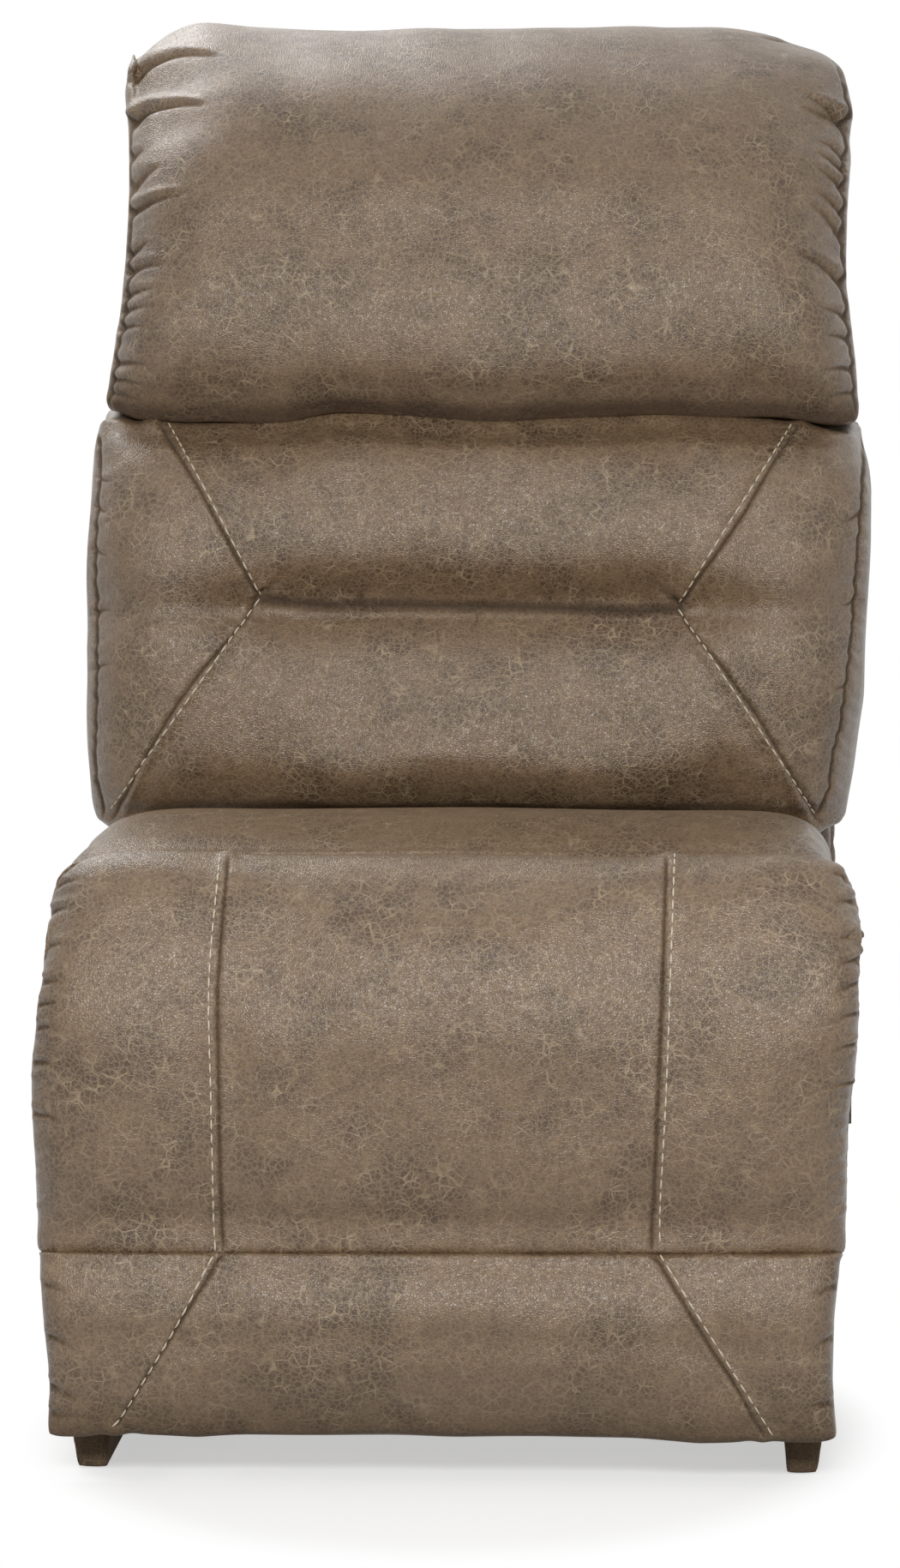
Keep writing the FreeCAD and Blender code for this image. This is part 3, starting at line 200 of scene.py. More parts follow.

# %% [markdown]
# ### Distressed faux leather
# The cover is a coated fabric: a knitted back with a skin of polyurethane, embossed with a fine grain,
# printed in taupe and rubbed so that lighter veins and darker clouds show. To the eye it is a satin
# surface with three layers of pattern: clouds some 60 mm across, a web of hairline veins a few
# millimetres apart, strongest in the clouds, and the grain, which breaks up the highlights. Voronoi
# cells give the veins: the distance to a cell's edge is zero along a net of lines. Bending the
# coordinates with noise first makes the net look cracked instead of drawn. The real veins are 0.3 mm
# wide, and they are drawn twice as wide here, so that they show. Seams carry an attribute called
# crease, where the colour is darkened with painted shade, with some dirt, and the skin is dull. On the
# seat the cover is stretched from front to back and rubbed dull.


# %% Faux leather
CLOUD, MOTTLE, VEIN, FINE_VEIN, GRAIN, SPECK = 58, 13, 10.0, 4.6, 1.9, 2.4  # millimetres across
BREAK, WANDER = 17, 8  # millimetres across: where veins break off, and how they wander
WANDER_REACH = 3.6 * MM


def faux_leather(name, rest_attribute=None, stretch=1.0, gloss=0.58):
    """Taupe polyurethane cover.

    rest_attribute names the place of each point before it bends, stretch is how much longer the
    pattern is from front to back than from side to side, and gloss is the specular level.
    """
    material = bpy.data.materials.new(name)
    tree = empty_graph(material)
    if rest_attribute:
        place = add(tree, "Attribute", attribute_name=rest_attribute).outputs["Vector"]
    else:
        place = add(tree, "TexCoord").outputs["Object"]
        place = add(tree, "Mapping", {"Vector": place, "Scale": (1, 1 / stretch, 1)})
    noise = add(tree, "TexNoise", {"Vector": place, "Scale": per_metre(WANDER), "Detail": 3})
    bend = {0: noise.outputs["Color"], 1: 3 * (WANDER_REACH,), 2: place}
    bent = add(tree, "VectorMath", bend, operation="MULTIPLY_ADD")

    # Dark clouds, and a finer mottle under them
    clouds = {"Vector": place, "Scale": per_metre(CLOUD), "Detail": 7, "Roughness": 0.72}
    soft_edge = {0: add(tree, "TexNoise", clouds), 1: 0.45, 2: 0.61}
    cloud = add(tree, "MapRange", soft_edge, interpolation_type="SMOOTHSTEP")
    mottles = {"Vector": bent, "Scale": per_metre(MOTTLE), "Detail": 5, "Roughness": 0.7}
    mottle = add(tree, "MapRange", {0: add(tree, "TexNoise", mottles), 1: 0.35, 2: 0.68})
    breaks = add(tree, "TexNoise", {"Vector": place, "Scale": per_metre(BREAK), "Detail": 3})
    broken = add(tree, "MapRange", {0: breaks, 1: 0.42, 2: 0.6})
    specks = add(tree, "TexNoise", {"Vector": bent, "Scale": per_metre(SPECK), "Detail": 2})
    speck = add(tree, "MapRange", {0: specks, 1: 0.35, 2: 0.65, 3: 0.78, 4: 1.2})

    # Three nets of cell edges: long veins, fine veins and grain
    nets = []
    for size, randomness, low, high in (
        (VEIN, 1.0, 0.08, 0.0),
        (FINE_VEIN, 1.0, 0.12, 0.0),
        (GRAIN, 0.9, 0.0, 0.3),
    ):
        cells = {"Vector": bent, "Scale": per_metre(size), "Randomness": randomness}
        edges = add(tree, "TexVoronoi", cells, feature="DISTANCE_TO_EDGE")
        nets.append(add(tree, "MapRange", {0: edges, 1: low, 2: high}))
    long_net, fine_net, grain = nets
    long_veins = add(tree, "Math", {0: long_net, 1: broken}, operation="MULTIPLY")
    fine_veins = add(tree, "Math", {0: fine_net, 1: 0.5}, operation="MULTIPLY")
    veins = add(tree, "Math", {0: long_veins, 1: fine_veins}, operation="MAXIMUM")

    # Colour, from the ground up to the painted shade and dirt in the seams
    shaded = add(tree, "Mix", {FACTOR: cloud, FIRST: "#836B52", SECOND: "#533F2D"}, data_type="RGBA")
    mottled = add(tree, "Mix", {FACTOR: mottle, FIRST: "#584432", SECOND: "#836C53"}, data_type="RGBA")
    both = {FACTOR: 0.44, FIRST: shaded.outputs[RESULT], SECOND: mottled.outputs[RESULT]}
    ground = add(tree, "Mix", both, data_type="RGBA")
    dusted = add(tree, "VectorMath", {0: ground.outputs[RESULT], 3: speck}, operation="SCALE")
    strength = add(tree, "MapRange", {0: cloud, 3: 0.48, 4: 0.9})
    share = add(tree, "Math", {0: veins, 1: strength}, operation="MULTIPLY")
    veined = add(tree, "Mix", {FACTOR: share, FIRST: dusted, SECOND: "#B29C7E"}, data_type="RGBA")
    # Painted shade: where the crease is, the colour is mixed towards #33251A for the shade in seams and
    # folds, with some dirt
    crease = add(tree, "Attribute", attribute_name="crease").outputs["Fac"]
    seam_shade_and_dirt = add(tree, "Math", {0: crease, 1: 0.8}, operation="MULTIPLY")
    darkened_seams = {FACTOR: seam_shade_and_dirt, FIRST: veined.outputs[RESULT], SECOND: "#33251A"}
    colour = add(tree, "Mix", darkened_seams, data_type="RGBA")

    # Relief and gloss: veins are sunk, clouds are a little duller, and seams are dullest
    sunk = add(tree, "Math", {0: veins, 1: -0.7, 2: grain}, operation="MULTIPLY_ADD")
    bump = add(tree, "Bump", {"Height": sunk, "Strength": 0.6, "Distance": 0.33 * MM})
    rub = add(tree, "MapRange", {0: cloud, 3: 0.33, 4: 0.39})
    dull = add(tree, "Math", {0: crease, 1: 1.6, 2: rub}, operation="MULTIPLY_ADD")
    rough = add(tree, "Math", {0: dull, 1: 0.95}, operation="MINIMUM")
    skin = {"Base Color": colour.outputs[RESULT], "Roughness": rough, "Normal": bump}
    skin |= {"IOR": 1.5, "Specular IOR Level": gloss}
    add(tree, "OutputMaterial", {"Surface": add(tree, "BsdfPrincipled", skin)})
    return material


COVER = faux_leather("taupe_faux_leather")
BENDING_COVER = faux_leather("taupe_faux_leather_bending", "rest_place")
SEAT_COVER = faux_leather("taupe_faux_leather_seat", stretch=2.6, gloss=0.2)
print("cover veins every %.1f and %.1f mm" % (VEIN, FINE_VEIN))

# %% [markdown]
# ### Thread, timber, steel, nylon, foam and webbing
# The topstitching is a bonded polyester thread in cream. The frame is kiln-dried hardwood and
# plywood, sawn and left bare: long soft bands along the grain, and a dull surface. Mechanism steel is
# stamped and powder-coated black, and its fasteners are zinc-plated, a bluish metal with a blurred
# reflection. Nylon is moulded and slightly translucent in real life, but plain black here. All of them
# vary softly between two colours, so one function makes them from a pattern of the right size.


# %% Small materials
SPOTTED = {"relief": (0.15, 0.3), "spread": 0.08}


def patterned(
    name, dark, light, roughness, pattern, relief, spread=0, metallic=0, along=1, kind="TexNoise", **settings
):
    """A finish whose colour and relief follow one pattern.

    pattern holds the inputs of a texture node of some kind, relief is the strength and the height in
    millimetres of the bump, the roughness varies by spread, and along scales the pattern along X.
    """
    material = bpy.data.materials.new(name)
    tree = empty_graph(material)
    place = add(tree, "TexCoord").outputs["Object"]
    place = add(tree, "Mapping", {"Vector": place, "Scale": (along, 1, 1)})
    drawn = add(tree, kind, {"Vector": place, **pattern}, **settings)
    colour = add(tree, "Mix", {FACTOR: drawn, FIRST: dark, SECOND: light}, data_type="RGBA")
    if spread:
        roughness = add(tree, "MapRange", {0: drawn, 3: roughness - spread, 4: roughness + spread})
    bump = add(tree, "Bump", {"Height": drawn, "Strength": relief[0], "Distance": relief[1] * MM})
    surface = {"Base Color": colour.outputs[RESULT], "Roughness": roughness, "Normal": bump}
    surface["Metallic"] = metallic
    add(tree, "OutputMaterial", {"Surface": add(tree, "BsdfPrincipled", surface)})
    return material


def spots(size, detail=4):
    """Inputs of a noise texture whose spots are size millimetres across."""
    return {"Scale": per_metre(size), "Detail": detail}


# Cream, with the twist of the thread's strands as a fine ripple
THREAD = patterned("cream_bonded_thread", "#C9BA9F", "#E9DFCB", 0.6, spots(1.2, 2), (0.3, 0.3))
BANDS = {**spots(6, 5), "Distortion": 0.6}
RIBS = {"Scale": per_metre(2) / math.pi, "Distortion": 0.4}
FINISHES = {
    # Bands 6 mm wide that are drawn out along the board, on a dull pale brown
    "timber": patterned("sawn_hardwood", "#B08A5E", "#DCC09A", 0.72, BANDS, (0.25, 0.6), along=0.12),
    # Near black, with the slight orange peel of a baked powder
    "black_steel": patterned("black_powder_coat", "#141414", "#232323", 0.45, spots(3), **SPOTTED),
    # Bluish grey, with reflections that are blurred unevenly
    "zinc_steel": patterned(
        "zinc_plated_steel", "#8F9296", "#C3C6C8", 0.32, spots(5), metallic=1, **SPOTTED
    ),
    # Black and satin, as it leaves the mould
    "nylon": patterned("moulded_nylon", "#151515", "#202020", 0.5, spots(8), **SPOTTED),
    # Yellowish and open, with cells some 2 mm across
    "foam": patterned("seat_foam", "#D8CBA0", "#EDE3BF", 0.9, spots(2), **SPOTTED),
    # Dark brown ribs 2 mm apart across the strap
    "webbing": patterned(
        "woven_webbing", "#2B211A", "#4D3F33", 0.8, RIBS, (0.5, 0.5), kind="TexWave", bands_direction="Z"
    ),
}
for row in frame["record"]["subparts"]:
    if row["material_slot"] in FINISHES:
        NODES[row["node"]].data.materials.clear()
        NODES[row["node"]].data.materials.append(FINISHES[row["material_slot"]])
print("finishes:", ", ".join(FINISHES))

# %% [markdown]
# ## Cushions
# A cushion is a bag: panels of cover sewn together and stuffed until they stand out between the
# seams. It could be sculpted by hand, or worked out from a formula. The way chosen here starts from
# the plain solid, which has the right size, gives it an even skin of small squares, lets a cloth
# simulation blow that skin up against its seams, and only then presses in the seams and folds.


# %% Reading and writing points
def read_points(piece):
    """The places and normals of a mesh's points, as two arrays."""
    count = len(piece.data.vertices)
    co, normal = np.zeros(count * 3), np.zeros(count * 3)
    piece.data.vertices.foreach_get("co", co)
    piece.data.vertices.foreach_get("normal", normal)
    return co.reshape(-1, 3), normal.reshape(-1, 3)


def write_points(piece, co):
    """Put an array of places into a mesh."""
    piece.data.vertices.foreach_set("co", co.astype(np.float32).ravel())
    piece.data.update()


def keep_attribute(piece, name, kind, values):
    """Store a number ("FLOAT") or a place ("FLOAT_VECTOR") on every point of a mesh."""
    attribute = piece.data.attributes.get(name) or piece.data.attributes.new(name, kind, "POINT")
    field = "vector" if kind == "FLOAT_VECTOR" else "value"
    attribute.data.foreach_set(field, np.asarray(values, np.float32).ravel())


def smoothstep(value, low, high):
    """0 below low, 1 above high, and 3t^2 - 2t^3 between them."""
    t = np.clip((value - low) / (high - low), 0, 1)
    return t * t * (3 - 2 * t)


def bell(value, width):
    """exp(-(value / width)^2): 1 at zero, and nothing past two widths."""
    return np.exp(-((value / width) ** 2))


print("at half a width a bell is %.2f, at a width %.2f" % (bell(0.5, 1), bell(1, 1)))


# %% An even skin over a plain solid
def apply_modifiers(piece):
    """Replace a piece's mesh by what its modifiers make of it."""
    graph = bpy.context.evaluated_depsgraph_get()
    made = bpy.data.meshes.new_from_object(piece.evaluated_get(graph))
    piece.modifiers.clear()
    piece.data = made
    made.shade_smooth()


def skin_of(node, name, rounds, voxel=6 * MM):
    """A node's shape as even squares of the voxel's size, relaxed so that its edges turn round."""
    mesh = NODES[node].data.copy()
    work = bmesh.new()
    work.from_mesh(mesh)
    bmesh.ops.remove_doubles(work, verts=work.verts, dist=0.01 * MM)
    work.to_mesh(mesh)
    work.free()
    mesh.materials.clear()
    piece = new_object(name, mesh)
    remesh = piece.modifiers.new("even squares", "REMESH")
    remesh.mode = "VOXEL"
    remesh.voxel_size = voxel
    piece.modifiers.new("round edges", "SMOOTH").iterations = rounds
    apply_modifiers(piece)
    return piece


def divide(piece):
    """One level of subdivision, which halves the squares and smooths what the cloth left."""
    finer = piece.modifiers.new("finer", "SUBSURF")
    finer.levels = finer.render_levels = 1
    apply_modifiers(piece)


# %% [markdown]
# ### Fitting to the photograph
# The outline of a cushion could be fitted by eye. Here it is measured: the piece is cut into strips,
# the furthest point of each strip is compared with a line of pixels, and the strip moves by what it
# lacks. The moves of neighbouring strips are evened out, so that the skin stays smooth.

# %% Fitting
STRIP = 7  # pixels to each side of the row or column that is measured
FREE_END = 14  # pixels at the ends of a piece that aren't measured
MOST_MOVE = 18 * MM


def even_out(values, reach):
    """Each value as the mean of those up to reach places away."""
    width = 2 * reach + 1
    return np.convolve(np.pad(values, reach, "edge"), np.ones(width) / width, "valid")


def fit_sides(piece, left, right):
    """Scale X until the sides of a piece lie on two lines of the photograph.

    In a strip of rows, the point that reaches furthest is at X, and the line is a move away from
    it, so the strip's scale on that side is (X + move) / X.
    """
    co, _ = read_points(piece)
    seen, metre = to_photo(co), metre_per_pixel(co)
    rows = np.arange(seen[:, 1].min() + FREE_END, seen[:, 1].max() - FREE_END, STRIP)
    for line, furthest, side in ((left, np.argmin, -1), (right, np.argmax, 1)):
        wanted = np.interp(rows, *np.array(line, float).T[::-1])
        scales = []
        for row, column in zip(rows, wanted):
            near = np.flatnonzero(np.abs(seen[:, 1] - row) < STRIP)
            edge = near[furthest(seen[near, 0])]
            move = np.clip((column - seen[edge, 0]) * metre[edge], -MOST_MOVE, MOST_MOVE)
            scales.append(1 + move / co[edge, 0])
        scale = np.interp(seen[:, 1], rows, even_out(scales, 1))
        co[:, 0] *= np.where(co[:, 0] * side > 0, scale, 1)
    write_points(piece, co)


def fit_edge(piece, line, top, reach):
    """Move the top or bottom edge of a piece to a line of the photograph.

    The move is whole at the edge and fades to nothing at a distance of reach pixels from it.
    """
    co, _ = read_points(piece)
    seen, metre = to_photo(co), metre_per_pixel(co)
    pick = np.min if top else np.max
    columns = np.arange(seen[:, 0].min() + FREE_END, seen[:, 0].max() - FREE_END, STRIP)
    now = np.array([pick(seen[np.abs(seen[:, 0] - column) < STRIP, 1]) for column in columns])
    rise = even_out(now - np.interp(columns, *np.array(line, float).T), 2)
    edge = np.interp(seen[:, 0], columns, now)
    fade = smoothstep(reach - np.abs(edge - seen[:, 1]), 0, reach)
    move = np.clip(np.interp(seen[:, 0], columns, rise) * metre, -MOST_MOVE, MOST_MOVE)
    co[:, 2] += move * fade
    write_points(piece, co)


def belly(piece, height, spread, forward):
    """Move the front of a piece forward by forward * exp(-((z - height) / spread)^2), in millimetres."""
    co, normal = read_points(piece)
    front = smoothstep(-normal[:, 1], -0.3, 0.3)
    co[:, 1] -= MM * forward * bell(co[:, 2] / MM - height, spread) * front
    write_points(piece, co)


CORE, HALF_WIDTH = 60 * MM, 220 * MM


def fit_profile(piece, profile, top_fade=12 * MM):
    """Move the front of a piece so that its middle follows a profile of (height, y) in millimetres.

    In a strip of heights, the middle's mean y is read, and the strip moves by what it lacks. The
    move halves from the middle to the sides, and fades out at the two ends of the profile, above over
    a height of top_fade.
    """
    co, normal = read_points(piece)
    heights, wanted = np.array(profile, float).T * MM
    core = (np.abs(co[:, 0]) < CORE) & (normal[:, 1] < -0.1)
    levels = np.arange(heights[0], heights[-1], 6 * MM)
    now = [co[core & (np.abs(co[:, 2] - level) < 6 * MM), 1].mean() for level in levels]
    lack = even_out(np.interp(levels, heights, wanted) - np.array(now), 1)
    ends = smoothstep(co[:, 2], heights[0] - 6 * MM, heights[0] + 6 * MM)
    ends *= smoothstep(-co[:, 2], -heights[-1] - 0.5 * top_fade, -heights[-1] + 0.5 * top_fade)
    across = 0.5 + 0.5 * smoothstep(-np.abs(co[:, 0]), -HALF_WIDTH, -2 * CORE)
    front = smoothstep(-normal[:, 1], -0.3, 0.3)
    co[:, 1] += np.interp(co[:, 2], levels, lack) * ends * across * front
    write_points(piece, co)


print("outlines are fitted in strips %d pixels high" % (2 * STRIP))


# %% Rounding and stuffing
def averaged(piece, values, rounds):
    """Values per point, each moved halfway to the mean of its neighbours, rounds times."""
    count = len(values)
    ends = np.zeros(2 * len(piece.data.edges), np.int32)
    piece.data.edges.foreach_get("vertices", ends)
    first, second = ends.reshape(-1, 2).T
    here, there = np.concatenate([first, second]), np.concatenate([second, first])
    neighbours = np.maximum(np.bincount(here, minlength=count), 1)[:, None]
    for _ in range(rounds):
        total = np.stack([np.bincount(here, values[there, i], count) for i in range(3)], axis=1)
        values = 0.5 * (values + total / neighbours)
    return values


def relax(piece, rounds):
    """Round off what is sharper than a few squares of the skin."""
    write_points(piece, averaged(piece, read_points(piece)[0], rounds))


def lumps(piece, height):
    """Uneven stuffing: crossed waves of 170 by 125 mm and of 90 mm, up to height millimetres."""
    co, normal = read_points(piece)
    x, z = co[:, 0], co[:, 2]
    wave = 0.6 * np.sin(x / 0.027 + 1.1) * np.sin(z / 0.02 + 0.4) + 0.4 * np.sin(x / 0.0143 + z / 0.03)
    write_points(piece, co + normal * (MM * height * wave * (normal[:, 1] < 0))[:, None])


# %% Cloth
CALM_ROUNDS = 40  # averages wrinkles under 60 mm away
SHRINK = 4 * MM
BAG = {
    "quality": 4,
    "mass": 0.3,
    "tension_stiffness": 12,
    "compression_stiffness": 12,
    "bending_stiffness": 0.4,
    "use_pressure": True,
    "uniform_pressure_force": 4.0,
    "shrink_min": -0.03,
    "vertex_group_mass": "held",
}


def puff(piece, hold, cap=11 * MM):
    """Blow the skin up like a bag while hold keeps parts of it in place.

    hold(co, normal) gives 1 where a point is sewn or backed and 0 where it is free. The skin first
    shrinks along its normals, its cloth is 3% larger than it, and no point ends further than cap
    from where it began. The moves are averaged, so that the swelling stays and the small wrinkles
    go, because a stuffed bag is smooth away from its seams.
    """
    co, normal = read_points(piece)
    held = hold(co, normal)
    co = co - normal * (SHRINK * (1 - held))[:, None]
    write_points(piece, co)
    levels = np.round(held, 1)
    group = piece.vertex_groups.new(name="held")
    for level in np.unique(levels):
        group.add(np.flatnonzero(levels == level).tolist(), float(level), "REPLACE")
    cloth = piece.modifiers.new("cloth", "CLOTH")
    for name, value in BAG.items():
        setattr(cloth.settings, name, value)
    cloth.settings.effector_weights.gravity = 0
    cloth.collision_settings.use_collision = False
    for step in range(1, 21):
        bpy.context.scene.frame_set(step)
    graph = bpy.context.evaluated_depsgraph_get()
    blown, _ = read_points(piece.evaluated_get(graph))
    piece.modifiers.clear()
    piece.vertex_groups.clear()
    move = blown - co
    length = np.linalg.norm(move, axis=1)
    share = np.minimum(1, cap / np.maximum(length, 1e-9))
    write_points(piece, co + averaged(piece, move * share[:, None], CALM_ROUNDS))
    bpy.context.scene.frame_set(1)
    print("%s: cloth moved it %.1f mm at most" % (piece.name, (length * share).max() / MM))


def stuff(piece, hold, sides, cap=11 * MM):
    """Fit a skin to its two sides, blow it up, divide it, and fit it again."""
    fit_sides(piece, *sides)
    puff(piece, hold, cap)
    divide(piece)
    fit_sides(piece, *sides)


def cover_with(piece, material):
    """Give a finished cushion its cover, and say how fine its mesh is."""
    piece.data.materials.append(material)
    print("%s: %d faces" % (piece.name, len(piece.data.polygons)))


# %% [markdown]
# ### Seams and folds
# A seam is a line where two panels meet and turn inwards, so the skin dips in a narrow groove with a
# soft shoulder on each side. A fold starts at a seam, where spare cover is gathered, and runs out
# into the panel: a groove that gets shallower, with a rounded lip above it. Both are drawn as lines
# over the photograph, and the skin is moved along its normal by how near each point is to a line.


# %% Lines in the photograph
def smooth_line(points, steps=8):
    """A Catmull-Rom curve through the points, as steps short lengths between each pair."""
    points = np.array(points, float)
    if len(points) < 3:
        return points
    padded = np.vstack([2 * points[0] - points[1], points, 2 * points[-1] - points[-2]])
    t = np.linspace(0, 1, steps, endpoint=False)[:, None]
    made = []
    for a, b, c, d in zip(padded[:-3], padded[1:-2], padded[2:-1], padded[3:]):
        cubic = 2 * b + (c - a) * t + (2 * a - 5 * b + 4 * c - d) * t**2
        made.append(0.5 * (cubic + (3 * b - a - 3 * c + d) * t**3))
    return np.vstack([*made, points[-1:]])


def near_line(seen, line):
    """Distance of every pixel to a smooth line, how far along it that is, and whether it lies above."""
    line = smooth_line(line)
    nearest = np.full(len(seen), np.inf)
    share, above = np.zeros(len(seen)), np.ones(len(seen))
    steps = np.diff(line, axis=0)
    lengths = np.linalg.norm(steps, axis=1)
    done = np.concatenate([[0], np.cumsum(lengths)])
    for start, step, length, before in zip(line[:-1], steps, lengths, done):
        t = np.clip(((seen - start) @ step) / length**2, 0, 1)
        gap = seen - start - t[:, None] * step
        distance = np.linalg.norm(gap, axis=1)
        closer = distance < nearest
        nearest[closer] = distance[closer]
        share[closer] = ((before + t * length) / done[-1])[closer]
        above[closer] = np.where(gap[closer, 1] < 0, 1.0, -1.0)
    return nearest, share, above


def nearest_of(seen, lines):
    """Distance of every pixel to the nearest of some lines."""
    return np.min([near_line(seen, line)[0] for line in lines], axis=0)


def on_plane(line, depth):
    """Where the camera's rays through a line of pixels meet the plane of one Y."""
    rays = np.array([ray_of(pixel) for pixel in smooth_line(line)])
    return EYE + rays * ((depth - EYE[1]) / rays[:, 1])[:, None]


def facing_camera(normal):
    """1 where the skin faces the photograph's camera, 0 where it is turned away."""
    return smoothstep(-(normal @ FORWARD), 0.02, 0.3)


def refine(piece, lines, reach):
    """Halve the squares that lie within reach pixels of the lines and face the camera.

    The new corners fall on the old straight edges, so they are relaxed twice.
    """
    co, normal = read_points(piece)
    near = (nearest_of(to_photo(co), lines) < reach) & (normal @ FORWARD < 0.1)
    work = bmesh.new()
    work.from_mesh(piece.data)
    work.verts.ensure_lookup_table()
    edges = [e for e in work.edges if near[e.verts[0].index] and near[e.verts[1].index]]
    made = bmesh.ops.subdivide_edges(work, edges=edges, cuts=1, use_grid_fill=True)
    fresh = [item for item in made["geom_inner"] if isinstance(item, bmesh.types.BMVert)]
    for _ in range(2):
        bmesh.ops.smooth_vert(
            work, verts=fresh, factor=0.5, use_axis_x=True, use_axis_y=True, use_axis_z=True
        )
    work.to_mesh(piece.data)
    work.free()
    piece.data.shade_smooth()


def press(piece, seams=(), folds=()):
    """Press seams and folds into a piece, and remember where they are as its crease, which the cover darkens
    with painted shade.

    A seam is (line, depth, width) and a fold is (line, depth, width, lip): depths and the lip's
    height in millimetres, widths in pixels. Each dip is depth times exp(-(distance / width)^2).
    A seam fades at its two ends, and a fold fades away from its first point.
    """
    co, normal = read_points(piece)
    seen, front = to_photo(co), facing_camera(normal)
    rise, crease = np.zeros(len(co)), np.zeros(len(co))
    for line, depth, width in seams:
        distance, share, _ = near_line(seen, line)
        ends = smoothstep(share, -0.005, 0.03) * smoothstep(1 - share, -0.005, 0.03)
        rise -= MM * depth * (0.62 * bell(distance, width) + 0.38 * bell(distance, 7 * width)) * ends
        crease = np.maximum(crease, bell(distance, 0.55 * width) * ends)
    for line, depth, width, lip in folds:
        distance, share, above = near_line(seen, line)
        fade = (1 - share) ** 0.7 * smoothstep(1 - share, 0.0, 0.15)
        wide = width * (0.45 + 0.55 * (1 - share))
        ridge = bell(distance * above - 1.9 * wide, 1.5 * wide)
        rise += MM * fade * (lip * ridge - depth * bell(distance, wide))
        crease = np.maximum(crease, 0.6 * fade * bell(distance, 0.5 * wide))
    write_points(piece, co + normal * (rise * front)[:, None])
    # Painted shade: the crease darkens the cover in the seams and folds
    keep_attribute(piece, "crease", "FLOAT", np.clip(crease * front, 0, 1))


PUCKERS = (38.3, 25.1, 16.7)  # pixels long


def gather(piece, line, depth, reach, slope=0.6):
    """Pucker the cover beside a seam, where it is gathered into the stitching.

    Three sines along the seam, 27, 18 and 12 mm long, are slanted by slope and fade with
    exp(-(distance / reach)^1.5). depth is in millimetres, and reach in pixels.
    """
    co, normal = read_points(piece)
    distance, share, _ = near_line(to_photo(co), line)
    length = np.linalg.norm(np.diff(smooth_line(line), axis=0), axis=1).sum()
    along = share * length + slope * distance
    wave = sum(np.sin(2 * math.pi * along / wide + 1.7 * wide) for wide in PUCKERS) / len(PUCKERS)
    ends = smoothstep(share, 0, 0.04) * smoothstep(1 - share, 0, 0.04)
    fade = np.exp(-((distance / reach) ** 1.5)) * ends * facing_camera(normal)
    sharp = np.sign(wave) * np.abs(wave) ** 0.8
    write_points(piece, co + normal * (MM * depth * sharp * fade)[:, None])


def paint_shade_near(piece, line, reach, share):
    """Paint shade on the cover near a line: darken it by share * exp(-(distance / reach)^2), with reach in
    pixels.
    """
    co, normal = read_points(piece)
    before = np.zeros(len(co), np.float32)
    piece.data.attributes["crease"].data.foreach_get("value", before)
    near = share * bell(near_line(to_photo(co), line)[0], reach) * facing_camera(normal)
    keep_attribute(piece, "crease", "FLOAT", np.maximum(before, near))


print("seams and folds are drawn in the photograph's %d by %d pixels" % PHOTO)

# %% [markdown]
# ### The head seam
# The headrest and the lumbar cushion are sewn to each other along a seam that wanders up and down by
# some 10 mm, because the two bags are pulled into it unevenly. Both edges follow one line.

# %% Head seam
HEAD_SEAM = [
    (96, 480), (122, 481), (136, 482), (156, 489), (183, 490), (231, 493), (330, 489), (389, 480),
    (451, 483), (520, 489), (587, 491), (640, 489), (699, 486), (791, 482), (860, 485), (915, 488),
    (971, 496), (1000, 497), (1026, 500),
]
SEAM_FRONT_Y = 0.134
SEAM_HEIGHT = 0.5 * (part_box("headrest_cushion")[0].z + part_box("lumbar_cushion")[1].z)
SEAM_LINE = on_plane(HEAD_SEAM, SEAM_FRONT_Y)


def follow_head_seam(piece, side):
    """Move an edge to the wavy seam, fading with exp(-distance / 45 mm) away from it.

    side is 1 for the cushion above the seam and -1 for the one below, and each edge also reaches
    3 mm past the seam, so that the two press into each other.
    """
    co, _ = read_points(piece)
    away = np.abs(co[:, 2] - SEAM_HEIGHT)
    wander = np.interp(co[:, 0], SEAM_LINE[:, 0], SEAM_LINE[:, 2]) - SEAM_HEIGHT
    co[:, 2] += wander * np.exp(-away / (45 * MM)) - side * 3 * MM * np.exp(-away / (12 * MM))
    write_points(piece, co)


print("head seam wanders over %.0f mm" % (1000 * np.ptp(SEAM_LINE[2:-2, 2])))

# %% [markdown]
# ### The lumbar cushion
# The lower part of the back is one bag that a sewn tuck divides into two rolls. Contrast stitching
# marks an hourglass: from the top corners in to the ends of the tuck, and out again to the bottom
# corners. Each stitched line runs beside a seam. The seams hold the skin down while the cloth is
# blown up, which makes the panels between them swell.

